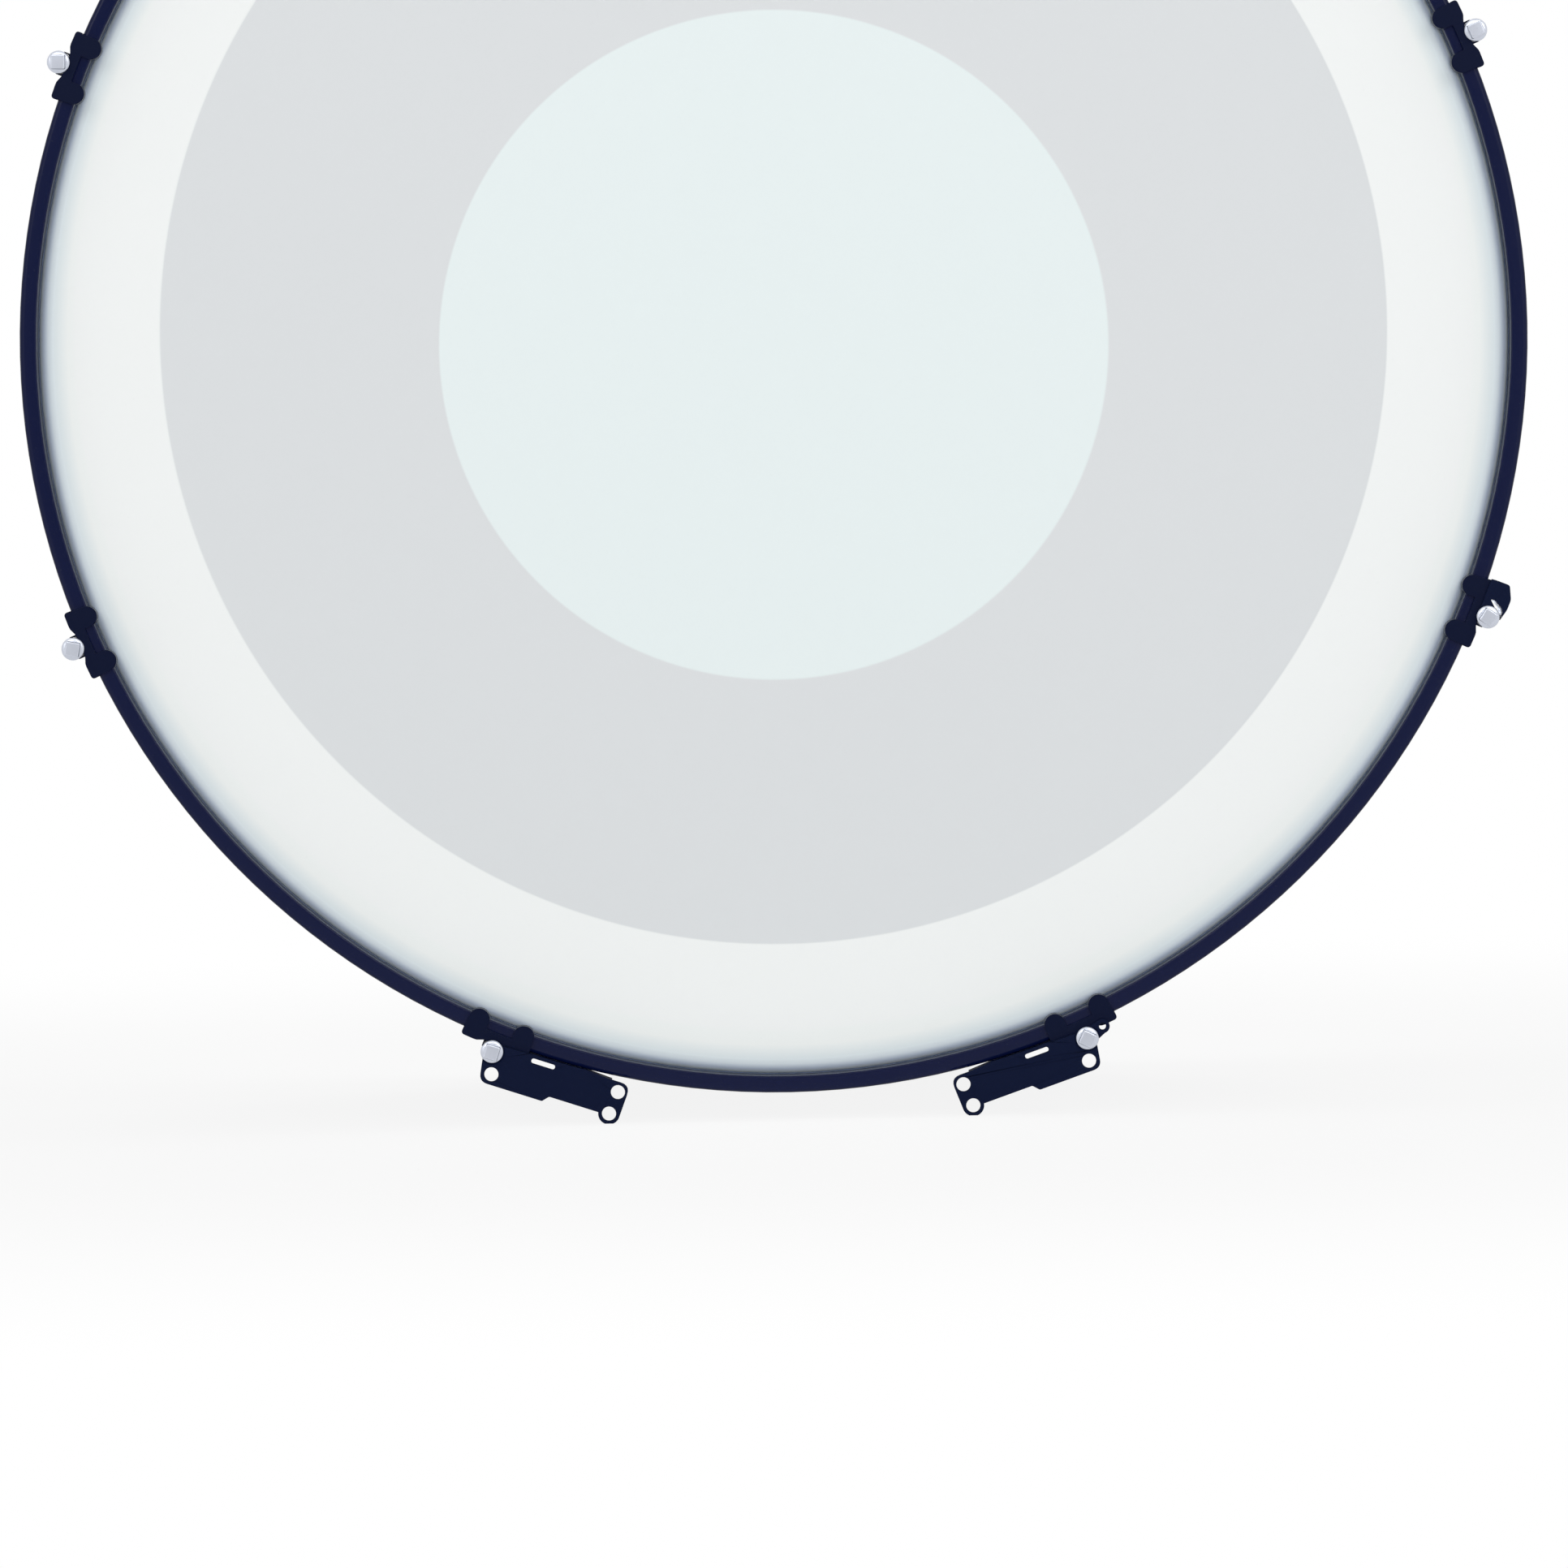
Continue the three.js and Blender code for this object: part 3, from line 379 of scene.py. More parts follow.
# Heads
# Each head is one translucent film, hot formed over the bearing edge and down a steep collar into
# its flesh hoop. A disc of film laminated behind the middle and a ring of white foam behind the
# edge show as paler zones, with a greyer zone of bare film between them.
FILM_BACK = SHELL_END + FIT_GAP
FILM_FACE = FILM_BACK + 0.3
FLAT_END = 340.0
BEND_START = 352.0
COLLAR_INSIDE, COLLAR_OUTSIDE = GROOVE_INSIDE + FIT_GAP, GROOVE_OUTSIDE - FIT_GAP
COLLAR_FOOT = GROOVE_FLOOR + FIT_GAP
BEND_STEPS = 12
PATCH_RADIUS = 163.5
PATCH_RISE = -2.6  # of its middle over the drum's axis
FOAM_INSIDE, FOAM_OUTSIDE = 299.9, 342.0
FOAM_RISE = 4.2
ZONE_BLUR, FOAM_BLUR = 0.7, 1.6
PATCH_TINT = (0.766, 0.836, 0.838)
BARE_TINT = (0.682, 0.704, 0.718)
FOAM_TINT = (0.85, 0.87, 0.865)
# Painted shade and painted light: these tints dip darker towards the hoop, where the hoop's shadow falls on
# the film, and turn lighter and bluer down the collar, standing in for light that reaches into the groove.
EDGE_SHADE_AND_LIGHT_TINTS = [  # radius and colour, from the foam's outer edge down the collar
    (341.0, (0.84, 0.87, 0.86)), (345.0, (0.84, 0.87, 0.86)), (351.5, (0.72, 0.79, 0.81)),
    (354.5, (0.75, 0.83, 0.88)), (357.0, (0.62, 0.72, 0.86)), (358.1, (0.84, 0.94, 1.0))]


def curve(start, corner, end, steps):
    """Points on a parabola that leaves the start towards the corner and turns to the end."""
    start, corner, end = Vector(start), Vector(corner), Vector(end)
    shares = [i / steps for i in range(steps + 1)]
    return [tuple(start * (1 - t) ** 2 + corner * 2 * t * (1 - t) + end * t ** 2) for t in shares]


def film_zones(tree):
    """Colour of the film by how far a point is from the middle of the patch, the foam or the drum, with
    painted shade and painted light in the band near the hoop.
    """
    where = tree.nodes.new("ShaderNodeTexCoord")

    def distance(rise):
        """How far a point is from a line along the drum, this much above its axis."""
        shift = node(tree, "ShaderNodeMapping", {
            "Vector": where.outputs["Object"], "Location": (0, 0, -(DRUM_CENTRE.z + rise * MM)),
            "Scale": (1, 0, 1)}, vector_type="POINT")
        length = node(tree, "ShaderNodeVectorMath", {0: shift.outputs["Vector"]}, operation="LENGTH")
        return length.outputs["Value"]

    def inside(value, radius, blur):
        """1 within the radius and 0 outside it, with a soft step between them."""
        step = node(tree, "ShaderNodeMapRange", {
            "Value": value, "From Min": (radius - blur) * MM, "From Max": (radius + blur) * MM,
            "To Min": 1, "To Max": 0}, interpolation_type="SMOOTHSTEP")
        return step.outputs["Result"]

    def layer(under, over, mask):
        """Lays a colour over another by a mask."""
        mix = node(tree, "ShaderNodeMix", {"Factor": mask, "A": under, "B": (*over, 1)}, data_type="RGBA")
        return mix.outputs["Result"]

    # The ramp below paints shade that darkens the film towards the hoop, and paints light on the collar.
    low, high = EDGE_SHADE_AND_LIGHT_TINTS[0][0], EDGE_SHADE_AND_LIGHT_TINTS[-1][0]
    spread = node(tree, "ShaderNodeMapRange", {
        "Value": distance(0), "From Min": low * MM, "From Max": high * MM})
    edge = node(tree, "ShaderNodeValToRGB", {"Fac": spread.outputs["Result"]})
    stops = edge.color_ramp.elements
    stops[0].color = (*EDGE_SHADE_AND_LIGHT_TINTS[0][1], 1)
    stops[1].color = (*EDGE_SHADE_AND_LIGHT_TINTS[-1][1], 1)
    for radius, colour in EDGE_SHADE_AND_LIGHT_TINTS[1:-1]:
        stops.new((radius - low) / (high - low)).color = (*colour, 1)
    from_foam = distance(FOAM_RISE)
    in_bare = inside(from_foam, FOAM_INSIDE, ZONE_BLUR)
    in_foam = reckon(tree, "SUBTRACT", inside(from_foam, FOAM_OUTSIDE, FOAM_BLUR), in_bare)
    bare = layer(edge.outputs["Color"], BARE_TINT, in_bare)
    foam = layer(bare, FOAM_TINT, in_foam)
    return layer(foam, PATCH_TINT, inside(distance(PATCH_RISE), PATCH_RADIUS, ZONE_BLUR))


film, film_tree, film_shader = material("translucent_film", Specular_IOR_Level=0.25)
coat(film_tree, film_shader, film_zones(film_tree), dust_colour=(0.55, 0.57, 0.57), roughness=0.55,
     unevenness=0.12, dust=0.06, ripple_scale=14, ripple_height=0.02)
back_bend = curve(
    (BEND_START, FILM_BACK), (COLLAR_INSIDE - 1.45, FILM_BACK - 0.35), (COLLAR_INSIDE, FLESH_TOP), BEND_STEPS)
face_bend = curve(
    (COLLAR_OUTSIDE, FLESH_TOP), (COLLAR_OUTSIDE - 1.5, FILM_FACE - 0.4), (BEND_START, FILM_FACE), BEND_STEPS)
film_profile = [
    (0, FILM_BACK), (FLAT_END, FILM_BACK), *back_bend, (COLLAR_INSIDE, COLLAR_FOOT),
    (COLLAR_OUTSIDE, COLLAR_FOOT), *face_bend, (FLAT_END, FILM_FACE), (0, FILM_FACE)]
for end, side in ENDS.items():
    head = turned(f"{end}_head_film", film_profile, closed=False)
    put(head, end_place(side))
    smooth(head)
    dress(head, film, "drum", f"head_film_{end}")

# Patch and damping ring
# The round patch of film and the ring of soft white foam lie against the back of each head, and are
# seen through it. They keep the CAD's shapes.
patch_film = sprayed(
    "laminated_patch_film", colour=PATCH_TINT, dust_colour=(0.6, 0.62, 0.62), roughness=0.5,
    unevenness=0.1, dust=0.1, ripple_scale=20, ripple_height=0.01)
white_foam = sprayed(
    "white_foam", colour=(0.85, 0.87, 0.86), dust_colour=(0.6, 0.6, 0.58), roughness=0.95,
    unevenness=0.05, dust=0.4, ripple_scale=700, ripple_height=0.3)
for end in ENDS:
    for label, finish in (("centre_patch", patch_film), ("damping_ring", white_foam)):
        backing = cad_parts[f"{label}_{end}"]
        backing.data.materials.clear()
        backing.data.materials.append(finish)

# Counter hoops
# A counter hoop is a ring of bent maple plies, rounded at its edges and finished in dark navy gloss
# lacquer. A rebate turned inside it sits on the flesh hoop, and the claws pull it down the shell.
HOOP_INSIDE, HOOP_OUTSIDE = GROOVE_OUTSIDE, 367.6
HOOP_REBATE = FLESH_OUTSIDE + FIT_GAP
HOOP_LEDGE = FLESH_TOP + FIT_GAP
HOOP_FRONT = SHELL_END + 15.0
HOOP_BACK = HOOP_FRONT - 38.1
HOOP_ROUNDING = 2.4


def rounded(corners, steps=5):
    """An outline through corners (x, y, rounding), each turned with a short curve, or sharp (x, y)."""
    points = []
    for i, (x, y, *roundings) in enumerate(corners):
        corner = Vector((x, y))
        before = Vector(corners[i - 1][:2]) - corner
        after = Vector(corners[(i + 1) % len(corners)][:2]) - corner
        if not roundings:
            points.append((x, y))
            continue
        rounding = roundings[0]
        enter = corner + before.normalized() * rounding
        leave = corner + after.normalized() * rounding
        points += curve(enter, corner, leave, steps)
    return points


hoop_lacquer = sprayed(
    "navy_hoop_lacquer", colour=(0.0018, 0.0048, 0.035), dust_colour=(0.03, 0.033, 0.05), roughness=0.22,
    unevenness=0.1, dust=0.25, ripple_scale=55, ripple_height=0.02, Specular_IOR_Level=0.17)
hoop_profile = rounded([
    (HOOP_REBATE, HOOP_BACK, 0.5), (HOOP_OUTSIDE, HOOP_BACK, HOOP_ROUNDING),
    (HOOP_OUTSIDE, HOOP_FRONT, HOOP_ROUNDING), (HOOP_INSIDE, HOOP_FRONT, 1.0),
    (HOOP_INSIDE, HOOP_LEDGE, 0.8), (HOOP_REBATE, HOOP_LEDGE)], steps=6)
for end, side in ENDS.items():
    hoop = turned(f"{end}_hoop", hoop_profile)
    put(hoop, end_place(side))
    smooth(hoop, 40)
    dress(hoop, hoop_lacquer, "drum", f"hoop_{end}")

# Lugs
# Eight slim bridge lugs are cast in zinc and sprayed black. Each has a threaded boss at both ends,
# stands on two round pads and arches clear of the shell between them.
STATIONS = [22.5, 67.5, 112.5, 157.5, 202.5, 247.1, 292.9, 337.5]  # degrees round the drum
ROD_CIRCLE = 373.3  # radius on which the rods stand
ROD_BORE = 3.5
LUG_END = 80  # half the lug's length
BOSS_START = 54
BOSS_RADIUS = 6.6
LUG_TOP, LUG_NECK = ROD_CIRCLE + BOSS_RADIUS, ROD_CIRCLE - BOSS_RADIUS
LUG_ROOT = 350.0  # inside the shell's wall, and cut away to the shell's round
LUG_HALF_WIDTH = 0.9 * BOSS_RADIUS
TAPER_REACH = 345, 385  # under and over the whole lug
ARCH_END, ARCH_RISE = 38, 7.0
BACK_DIP, WAIST_DIP = 8.5, 2.2
PAD_PLACE, PAD_RADIUS, PAD_TOP = 52, 10.5, 359.1


def copy_of(piece, name):
    """A second piece with a mesh of its own."""
    take(piece)
    bpy.ops.object.duplicate(linked=False)
    twin = bpy.context.object
    twin.name = name
    return twin


def soften(piece, width):
    """Rounds the sharp edges a little, as a file or a spray coat leaves them."""
    use(cleared(piece), "BEVEL", width=width * MM, segments=3, limit_method="ANGLE",
        angle_limit=math.radians(40), use_clamp_overlap=False, miter_outer="MITER_ARC")
    return smooth(piece, 24)


def slab(name, outline, start, end):
    """An outline of points in the XY plane, filled and drawn out along Z."""
    chain(name, [(x, y, start) for x, y in outline], closed=False)
    bpy.ops.mesh.select_all(action="SELECT")
    bpy.ops.mesh.remove_doubles(threshold=MERGE)
    bpy.ops.mesh.edge_face_add()
    bpy.ops.mesh.select_all(action="SELECT")
    bpy.ops.mesh.extrude_region_move(TRANSFORM_OT_translate={"value": (0, 0, (end - start) * MM)})
    return close_mesh()


def bow(start, end, depth, steps=16):
    """Points on a shallow parabola between two points, dipping by depth in Y."""
    points = []
    for i in range(steps + 1):
        share = i / steps
        x = start[0] + (end[0] - start[0]) * share
        points.append((x, start[1] + (end[1] - start[1]) * share - 4 * depth * share * (1 - share)))
    return points


arch = bow((-ARCH_END, SHELL_SEAT), (ARCH_END, SHELL_SEAT), -ARCH_RISE)
back = bow((BOSS_START, LUG_TOP), (-BOSS_START, LUG_TOP), BACK_DIP)
lug_side = [
    (3 - LUG_END, LUG_ROOT), (-ARCH_END, LUG_ROOT), *arch, (ARCH_END, LUG_ROOT), (LUG_END - 3, LUG_ROOT),
    (LUG_END, LUG_NECK), (LUG_END, LUG_TOP), *back, (-LUG_END, LUG_TOP), (-LUG_END, LUG_NECK)]
lug = slab("lug", lug_side, -BOSS_RADIUS, BOSS_RADIUS)
put(lug, Matrix.Rotation(math.radians(-90), 4, "Y"))
waist = bow((-BOSS_START, LUG_HALF_WIDTH), (BOSS_START, LUG_HALF_WIDTH), WAIST_DIP)
flank = [(LUG_HALF_WIDTH, -LUG_END - 5), *[(y, x) for x, y in waist], (LUG_HALF_WIDTH, LUG_END + 5)]
taper = slab("taper", flank + [(-x, -y) for x, y in flank], *TAPER_REACH)
put(taper, Matrix.Rotation(math.radians(-90), 4, "X"))
cut_with(lug, taper, "INTERSECT")
for end in (-1, 1):
    start, stop = sorted((end * BOSS_START, end * LUG_END))
    cut_with(lug, rod_of("boss", BOSS_RADIUS, start, stop, (0, ROD_CIRCLE)), "UNION")
    pad = rod_of("pad", PAD_RADIUS, -PAD_TOP, -LUG_ROOT, (0, end * PAD_PLACE))
    put(pad, Matrix.Rotation(math.radians(90), 4, "X"))
    cut_with(lug, pad, "UNION")
cut_with(lug, rod_of("shell_room", SHELL_SEAT, -LUG_END - 10, LUG_END + 10, vertices=512))
for end in (-1, 1):
    start, stop = sorted((end * (BOSS_START + 2), end * (LUG_END + 2)))
    cut_with(lug, rod_of("bore", ROD_BORE, start, stop, (0, ROD_CIRCLE)))
soften(lug, 0.3)
black_casting = sprayed(
    "black_cast_paint", colour=(0.0015, 0.0042, 0.022), dust_colour=(0.012, 0.016, 0.03), roughness=0.36,
    unevenness=0.15, dust=0.3, ripple_scale=240, ripple_height=0.03, Specular_IOR_Level=0.09)
for i, angle in enumerate(STATIONS, 1):
    copy = put(copy_of(lug, f"bridge_lug_{i}"), station(angle, REAR))
    dress(copy, black_casting, "drum", f"lug_{i}")
bpy.data.objects.remove(lug)

# Tension rods
# Sixteen chromed steel rods pull the claws down. Each has a square head for the key, a round
# flange under it, and a rolled thread on its end that screws into a lug.
EAR_FACE = 196.0  # front of a claw's ear, from the drum's middle
SPOT_FACE = 198.8  # front of a plate or hook that lies between ear and flange
ROD_TIP, THREAD_END = -132.0, -90.0  # from the flange's seat
ROD_RADIUS, CORE_RADIUS = 3.0, 2.6
FLANGE_RADIUS, FLANGE_HEIGHT = 5.6, 1.6
KEY_WIDTH, KEY_HEIGHT, KEY_FOOT = 6.2, 7.35, 1.3
THREAD_ROOT, THREAD_SIDE, THREAD_CREST = 2.45, 2.5, 2.95
THREAD_START = ROD_TIP + 1.0
THREAD_PITCH = 1.0
HEAD_TURN = 37  # degrees from each rod's head to the next one's
flange = [
    (FLANGE_RADIUS - 0.1, 0), (FLANGE_RADIUS, 0.2), (FLANGE_RADIUS, 0.8), (FLANGE_RADIUS - 0.3, 1.25),
    (FLANGE_RADIUS - 1.0, FLANGE_HEIGHT - 0.1), (FLANGE_RADIUS - 2.0, FLANGE_HEIGHT), (0, FLANGE_HEIGHT)]
rod = turned("rod", [
    (0, ROD_TIP), (CORE_RADIUS - 0.3, ROD_TIP), (CORE_RADIUS, ROD_TIP + 0.6), (CORE_RADIUS, THREAD_END),
    (ROD_RADIUS, THREAD_END + 0.6), (ROD_RADIUS, 0), *flange], steps=32, closed=False, axis=(0, 0, 1))
clear_selection()
bpy.ops.mesh.primitive_cube_add(size=KEY_WIDTH * MM, location=(0, 0, (KEY_FOOT + KEY_HEIGHT / 2) * MM))
key_head = bpy.context.object
open_mesh(key_head)
bpy.ops.transform.resize(value=(1, 1, KEY_HEIGHT / KEY_WIDTH))
bpy.ops.object.mode_set(mode="OBJECT")
bpy.ops.object.transform_apply(location=True, rotation=True, scale=True)
for face in key_head.data.polygons:
    face.select = face.normal.z > 0.9
bpy.ops.object.mode_set(mode="EDIT")
bpy.ops.mesh.inset(thickness=1.3 * MM, depth=0.45 * MM)
bpy.ops.object.mode_set(mode="OBJECT")
use(key_head, "BEVEL", width=0.7 * MM, segments=4, limit_method="ANGLE", angle_limit=math.radians(15))
cut_with(rod, key_head, "UNION")
smooth(cleared(rod), 40)
thread = chain("thread", [
    (THREAD_ROOT, 0, THREAD_START), (THREAD_SIDE, 0, THREAD_START + 0.1),
    (THREAD_CREST, 0, THREAD_START + 0.45), (THREAD_CREST, 0, THREAD_START + 0.55),
    (THREAD_SIDE, 0, THREAD_START + 0.9),
    (THREAD_ROOT, 0, THREAD_START + THREAD_PITCH)], closed=False)
bpy.ops.object.mode_set(mode="OBJECT")
use(thread, "SCREW", axis="Z", screw_offset=THREAD_PITCH * MM, iterations=41, steps=20, render_steps=20,
    use_merge_vertices=True, merge_threshold=MERGE)
open_mesh(thread)
bpy.ops.mesh.remove_doubles(threshold=MERGE)
bpy.ops.mesh.select_all(action="DESELECT")
bpy.ops.mesh.select_non_manifold()
bpy.ops.mesh.edge_face_add()
smooth(close_mesh(), 40)
take(rod)
thread.select_set(True)
bpy.ops.object.join()
for end, side in ENDS.items():
    for i, angle in enumerate(STATIONS, 1):
        clamped = i in (6, 7) or (i == 8 and side == FRONT)
        height = (SPOT_FACE if clamped else EAR_FACE) + FIT_GAP
        seat = Matrix.Translation(Vector((0, ROD_CIRCLE, height)) * MM)
        turn = Matrix.Rotation(math.radians(HEAD_TURN * (i - 1)), 4, "Z")
        copy = put(copy_of(rod, f"{end}_key_rod_{i}"), station(angle, side) @ seat @ turn)
        dress(copy, chrome, f"rod_{end}_{i}", f"tension_rod_{end}_{i}")
bpy.data.objects.remove(rod)

# Claws
# Each claw is a black casting: a wall against the hoop's outer face, two rounded prongs that reach
# over the hoop's front edge with a web between them, and a short barrel that the rod passes through.
HOOP_FACE = HOOP_OUTSIDE + FIT_GAP  # inner face of the claws and plates, on the hoop
CLAW_HALF, CLAW_BACK = 17.4, 170
CLAW_WALL, CLAW_SHOULDER = 369.4, 371.1
WEB_INSIDE, WEB_OUTSIDE, WEB_BACK = 364.2, 369.1, 186
PRONG_SPREAD, PRONG_RADIUS, PRONG_BACK = 11.9, 5.15, 184
PRONG_TIP, PRONG_ROOT = 361.15, 369.2  # centre of the rounded tip, and end inside the wall
BARREL_RADIUS, BARREL_BACK = 5.3, 178
CLAW_STOCK = 198  # front before the claw is faced


def claw_point(run, radius):
    """A point at a run round the hoop, in millimetres, and a radius from the drum's axis."""
    return radius * math.sin(run / HOOP_FACE), radius * math.cos(run / HOOP_FACE)


def claw_arc(start, radius, steps):
    """Points on a circle round the drum, from a run to as far on the other side."""
    return [claw_point(start - 2 * start * i / steps, radius) for i in range(steps + 1)]


def faced(piece, height):
    """Cuts a piece flat at a height, so that everything joined to it ends flush."""
    half, low, high = 80, 340, 400
    block = slab("facing", [(-half, low), (half, low), (half, high), (-half, high)], height, height + 20)
    return cut_with(piece, block)


half_back = [
    (CLAW_HALF, CLAW_WALL), (17.2, 370.3), (16.6, 370.9), (15.8, CLAW_SHOULDER), (10.5, CLAW_SHOULDER),
    (9.0, 370.9), (7.6, 370.3), (6.2, 369.7), (4.8, CLAW_WALL)]
outer_face = [claw_point(u, r) for u, r in half_back] + [claw_point(-u, r) for u, r in reversed(half_back)]
web = claw_arc(PRONG_SPREAD, WEB_INSIDE, 12) + claw_arc(-PRONG_SPREAD, WEB_OUTSIDE, 12)
grip = slab("grip", web, WEB_BACK, CLAW_STOCK)
tip = arc((0, PRONG_TIP), PRONG_RADIUS, 180, 360, 20)
prong_outline = [(-PRONG_RADIUS, PRONG_ROOT), *tip, (PRONG_RADIUS, PRONG_ROOT)]
for lean in (-1, 1):
    prong = slab("prong", prong_outline, PRONG_BACK, CLAW_STOCK)
    put(prong, Matrix.Rotation(-lean * PRONG_SPREAD / HOOP_FACE, 4, "Z"))
    cut_with(grip, prong, "UNION")
room_inside, room_outside = HOOP_INSIDE - FIT_GAP, HOOP_OUTSIDE + 1.0
room_back, room_front = CLAW_BACK - 20, HOOP_FRONT + FIT_GAP
hoop_room = turned("hoop_room", [
    (room_inside, room_back), (room_outside, room_back), (room_outside, room_front),
    (room_inside, room_front)], steps=256, axis=(0, 0, 1))
cut_with(grip, hoop_room)
claw = slab("claw", claw_arc(-CLAW_HALF, HOOP_FACE, 16) + outer_face, CLAW_BACK, CLAW_STOCK)
cut_with(claw, grip, "UNION")
cut_with(claw, rod_of("barrel", BARREL_RADIUS, BARREL_BACK, CLAW_STOCK, (0, ROD_CIRCLE)), "UNION")
cut_with(claw, rod_of("bore", ROD_BORE, CLAW_BACK - 5, CLAW_STOCK + 7, (0, ROD_CIRCLE)))
soften(faced(claw, EAR_FACE), 0.25)
for end, side in ENDS.items():
    for i, angle in enumerate(STATIONS, 1):
        copy = put(copy_of(claw, f"{end}_hoop_claw_{i}"), station(angle, side))
        dress(copy, black_casting, f"clamp_{end}_{i}", f"claw_{end}_{i}")
bpy.data.objects.remove(claw)

# Carrier plates
# A carrier plate is a flat black steel casting clamped under a rod's flange in front of the claw.
# A rib along its straight edge rests on the hoop, and a carrier's arm is bolted through its
# three holes.
ROD_RUN = 27  # from the plate's middle along it to its rod
ROD_TURN = math.asin(ROD_RUN / ROD_CIRCLE)
PLATE_ANGLE = 22.9 - math.degrees(ROD_TURN)
ROD_PLACE = (-ROD_RUN, ROD_CIRCLE * math.cos(ROD_TURN))
PLATE_BACK, PLATE_FRONT = EAR_FACE + FIT_GAP, 199.3
PLATE_STOCK = 201  # front before a plate or the hook is faced
PLATE_LOW = 388.1
NEAR_HOLE, HIGH_HOLE, LOW_HOLE = (-24, 383.0), (37.5, 372.8), (36.5, 384.1)
HOLE_RADIUS = 3.45
LOBE_RADIUS = 5.3
DRILL = 190, 205  # start and end of what cuts through a plate or the hook
EYE_RUN, EYE_CIRCLE, EYE_RADIUS, EYE_HOLE = 9.2, 371.1, 3.5, 1.7
RIB_SEAT = HOOP_OUTSIDE + 0.15
RIB_START, RIB_LENGTH, RIB_TAPER_END, RIB_LOW, RIB_BACK = -9.5, 30, 33, 369.1, 184.3
SLOT_START, SLOT_END, SLOT_HIGH, SLOT_LOW = -7.4, 4.6, 369.4, 371.8
SPOT_FACE_RADIUS = 6.2


def carrier_plate(hand, with_eye):
    """One plate in its own frame, X towards the drum's bottom for hand 1."""
    head_end = [(ROD_PLACE[0] - 5.4, HOOP_FACE, 4), (-31, 373.4, 0.6)]
    turn = ROD_TURN + EYE_RUN / ROD_CIRCLE
    eye = (-EYE_CIRCLE * math.sin(turn), EYE_CIRCLE * math.cos(turn))
    if with_eye:
        head_end = [(ROD_PLACE[0], HOOP_FACE), *arc(eye, EYE_RADIUS, 270, 90, 16), (-30.7, 375.1)]
    lobe = arc(LOW_HOLE, LOBE_RADIUS, 170.2, 2.1, 24)
    corners = [
        *head_end, (-28.6, PLATE_LOW, 4), (3.4, PLATE_LOW, 0.6), (6.2, 385.0, 0.6), *lobe,
        (42.4, HOOP_FACE, 4.9)]

    def handed(points):
        """The same points for a plate of this hand."""
        return [(x * hand, y) for x, y in points]

    plate = slab("plate", handed(rounded(corners)), PLATE_BACK, PLATE_STOCK)
    runs = [RIB_START + RIB_LENGTH * i / 12 for i in range(13)]
    on_hoop = [(x, math.sqrt(RIB_SEAT ** 2 - x ** 2)) for x in runs]
    rib = [*on_hoop, (RIB_TAPER_END, HOOP_FACE), (RIB_TAPER_END, RIB_LOW), (RIB_START, RIB_LOW)]
    cut_with(plate, slab("rib", handed(rib), RIB_BACK, PLATE_STOCK), "UNION")
    if with_eye:
        cut_with(plate, rod_of("eye_hole", EYE_HOLE, *DRILL, (eye[0] * hand, eye[1]), 32))
    slot = rounded([
        (SLOT_START, SLOT_HIGH, 1.2), (SLOT_END, SLOT_HIGH, 1.2), (SLOT_END, SLOT_LOW, 1.2),
        (SLOT_START, SLOT_LOW, 1.2)])
    cut_with(plate, slab("slot", handed(slot), *DRILL))
    for place in handed([NEAR_HOLE, HIGH_HOLE, LOW_HOLE]):
        cut_with(plate, rod_of("hole", HOLE_RADIUS, *DRILL, place))
    place = (ROD_PLACE[0] * hand, ROD_PLACE[1])
    cut_with(plate, rod_of("rod_hole", ROD_BORE, *DRILL, place))
    cut_with(plate, rod_of("spot_face", SPOT_FACE_RADIUS, SPOT_FACE, DRILL[1], place))
    half, floor_line, deep = 140, DRUM_CENTRE.z / MM, 420
    ground = slab("ground", [(-half, floor_line), (half, floor_line), (half, deep), (-half, deep)], *DRILL)
    put(ground, Matrix.Rotation(-math.radians(PLATE_ANGLE) * hand, 4, "Z"))
    cut_with(plate, ground)
    return soften(faced(plate, PLATE_FRONT), 0.22)


black_steel = sprayed(
    "black_plate_paint", colour=(0.0012, 0.0045, 0.024), dust_colour=(0.012, 0.017, 0.034), roughness=0.38,
    unevenness=0.15, dust=0.3, ripple_scale=300, ripple_height=0.03, Specular_IOR_Level=0.09)
for end, side in ENDS.items():
    for hand, label, number in ((1, "right", 7), (-1, "left", 6)):
        plate = carrier_plate(hand * -side, side == FRONT and hand == 1)
        plate.name = f"{end}_{label}_carrier_plate"
        put(plate, station(270 + hand * PLATE_ANGLE, side))
        dress(plate, black_steel, f"clamp_{end}_{number}", f"carrier_plate_{end}_{label}")

# Sling hook
# A black steel clip under the right rod's flange, bent into a deep crook that curls out past the
# rod's head. The inside of the crook is given chrome, whose reflection of the white surrounding is
# a painted highlight, standing in for light seen past the hook and the rod.
HOOK_STATION = STATIONS[7]
HOOK_BACK = 162.8
HOOK_BEND = 1.2
HOOK_EDGE, ARM_EDGE = -18.2, -18.0
NECK = -8.8  # where the crook leaves the arm
RING_RADIUS = 5.4
THROAT_HIGHLIGHT_FROM = 371.4
crook = [
    (HOOK_EDGE, 377.7, HOOK_BEND), (-11.7, 380.8, HOOK_BEND), (-6.5, 380.8, HOOK_BEND), (-0.6, 379.3),
    (-4.3, 379.3, HOOK_BEND), (-6.5, 377.9, HOOK_BEND), (NECK, 373.0, HOOK_BEND), (-12.8, 371.6),
    (HOOK_EDGE, 371.6)]
hook = slab("hook", rounded(crook), HOOK_BACK, PLATE_STOCK)
ring = arc((0, ROD_CIRCLE), RING_RADIUS, 292, 475, 32)
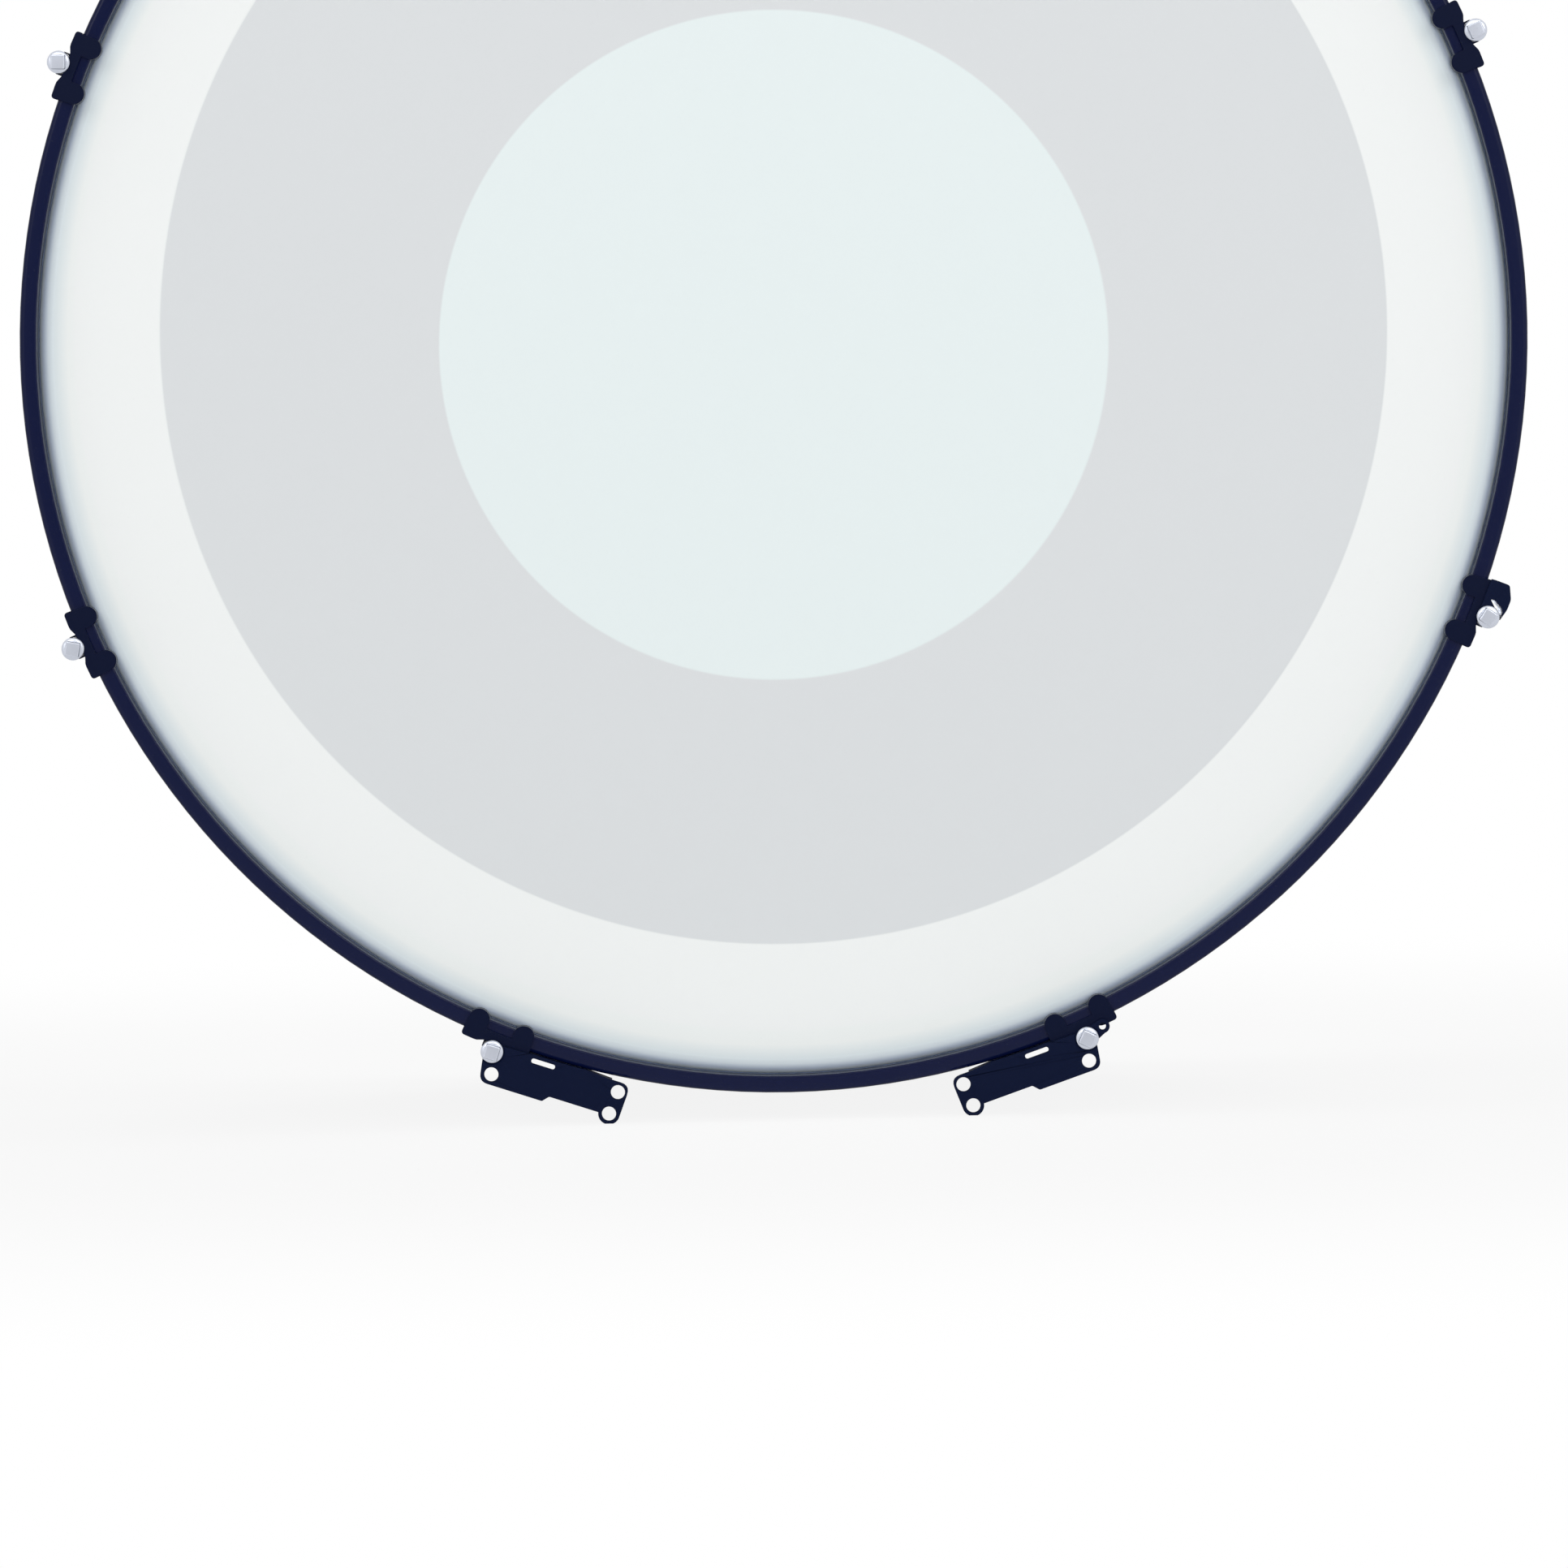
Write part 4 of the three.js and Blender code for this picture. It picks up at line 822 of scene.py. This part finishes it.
arm = [
    (ARM_EDGE, ROD_CIRCLE), (ARM_EDGE, ROD_CIRCLE - 5.0, 0.6), *ring, (NECK, 371.1, HOOK_BEND),
    (NECK, ROD_CIRCLE)]
cut_with(hook, slab("arm", rounded(arm), PLATE_BACK, PLATE_STOCK), "UNION")
cut_with(hook, rod_of("ring_hole", ROD_BORE, *DRILL, (0, ROD_CIRCLE)))
soften(faced(hook, SPOT_FACE), 0.15)
hook.name = "right_sling_hook"
put(hook, station(HOOK_STATION, FRONT))
dress(hook, black_steel, "clamp_front_8", "sling_hook")
# The crook's inner wall takes the chrome: a painted highlight, standing in for light seen past the hook and
# the rod.
hook.data.materials.append(chrome)
hook_turn = math.radians(HOOK_STATION)
outward = Vector((math.cos(hook_turn), 0, math.sin(hook_turn)))
for face in hook.data.polygons:
    from_axis = (face.center - DRUM_CENTRE).dot(outward)
    if from_axis > THROAT_HIGHLIGHT_FROM * MM and face.normal.dot(outward) < -0.3 and abs(face.normal.y) < 0.5:
        face.material_index = 1

# Floor and light
# A plain pale floor and a white surrounding, with soft lamps in front of the drum and behind it. A
# dark card stands behind the camera, seen only as a reflection.
FLOOR_SIZE = 60
FLOOR_TONE = 0.88
WHITE_START, WHITE_END = 0.5, 1.6  # from the drum, where the floor turns as white as the surrounding
CARD_SIZE = 2.2
CARD_PLACE = (0, -7.0, 0.4)
LAMP_LIGHT = 0.35  # the surrounding's strength where it only lights the drum


def seen_share(tree):
    """1 for the rays that show a surface or mirror it, and 0 for those that it only lights."""
    path = tree.nodes.new("ShaderNodeLightPath").outputs
    seen = reckon(tree, "MAXIMUM", path["Is Camera Ray"], path["Is Glossy Ray"])
    return reckon(tree, "MAXIMUM", seen, path["Is Transmission Ray"])


clear_selection()
bpy.ops.mesh.primitive_plane_add(size=FLOOR_SIZE, location=(0, 0, 0))
floor = bpy.context.object
floor.name = "studio_floor"
floor_paint, floor_tree, floor_shader = material(
    "studio_floor_paint", Base_Color=(FLOOR_TONE, FLOOR_TONE, FLOOR_TONE, 1), Roughness=0.9,
    Specular_IOR_Level=0)
floor_place = floor_tree.nodes.new("ShaderNodeTexCoord")
from_middle = node(floor_tree, "ShaderNodeVectorMath", {0: floor_place.outputs["Object"]}, operation="LENGTH")
far_off = node(floor_tree, "ShaderNodeMapRange", {
    "Value": from_middle.outputs["Value"], "From Min": WHITE_START, "From Max": WHITE_END,
    "To Min": FLOOR_TONE, "To Max": 1.0}, interpolation_type="SMOOTHSTEP")
white_share = reckon(floor_tree, "MULTIPLY", far_off.outputs["Result"], seen_share(floor_tree))
floor_glow = floor_tree.nodes.new("ShaderNodeEmission")
floor_mix = node(floor_tree, "ShaderNodeMixShader", {
    "Fac": white_share, 1: floor_shader.outputs["BSDF"], 2: floor_glow.outputs["Emission"]})
feed(floor_tree, floor_tree.nodes["Material Output"], {"Surface": floor_mix.outputs["Shader"]})
floor.data.materials.append(floor_paint)

clear_selection()
bpy.ops.mesh.primitive_plane_add(size=CARD_SIZE, location=CARD_PLACE, rotation=(math.radians(90), 0, 0))
card = bpy.context.object
card.name = "dark_card"
card.data.materials.append(material("dark_card_cloth", Base_Color=(0.02, 0.02, 0.022, 1), Roughness=1)[0])
card.visible_camera = False
card.visible_diffuse = False
card.visible_shadow = False

world = bpy.data.worlds.new("white_surrounding")
bpy.context.scene.world = world
world.use_nodes = True
sky_tree = world.node_tree
sky_strength = node(sky_tree, "ShaderNodeMapRange", {
    "Value": seen_share(sky_tree), "To Min": LAMP_LIGHT, "To Max": 1.0})
feed(sky_tree, sky_tree.nodes["Background"], {
    "Color": (1, 1, 1, 1), "Strength": sky_strength.outputs["Result"]})


def soft_lamp(name, place, size, power, glossy=True):
    """A square lamp that faces the drum's middle."""
    lamp = bpy.data.lights.new(name, "AREA")
    lamp.shape = "SQUARE"
    lamp.size = size
    lamp.energy = power
    holder = bpy.data.objects.new(name, lamp)
    bpy.context.scene.collection.objects.link(holder)
    holder.location = place
    holder.rotation_euler = (DRUM_CENTRE - Vector(place)).to_track_quat("-Z", "Y").to_euler()
    holder.visible_glossy = glossy


soft_lamp("front_soft_lamp", (0.3, -7.5, 0.45), size=1.2, power=220, glossy=False)
soft_lamp("left_soft_lamp", (-1.6, -4.8, 2.2), size=2.0, power=36)
soft_lamp("right_soft_lamp", (1.6, -4.8, 2.2), size=2.0, power=38)
soft_lamp("rear_soft_lamp", (0.5, 4.8, 2.2), size=2.4, power=120)

# Camera
# A long lens 6 m in front of the hoop, on the drum's axis, tipped down so that the drum's middle
# stands high in the picture, and leaning a little to one side.
VIEW_DISTANCE = 6.1928  # from the drum's middle
FOCAL_LENGTH = 282.5
SENSOR_WIDTH = 36
TIP_DOWN, LEAN, SWING = 87.931, 1.3, -0.048  # degrees
lens = bpy.data.cameras.new("camera")
lens.sensor_width = SENSOR_WIDTH
lens.lens = FOCAL_LENGTH
lens.clip_end = 200
camera = bpy.data.objects.new("camera", lens)
bpy.context.scene.collection.objects.link(camera)
camera.location = (0, -VIEW_DISTANCE, DRUM_CENTRE.z)
camera.rotation_euler = [math.radians(angle) for angle in (TIP_DOWN, LEAN, SWING)]
bpy.context.scene.camera = camera
bpy.context.scene.view_settings.view_transform = "Standard"
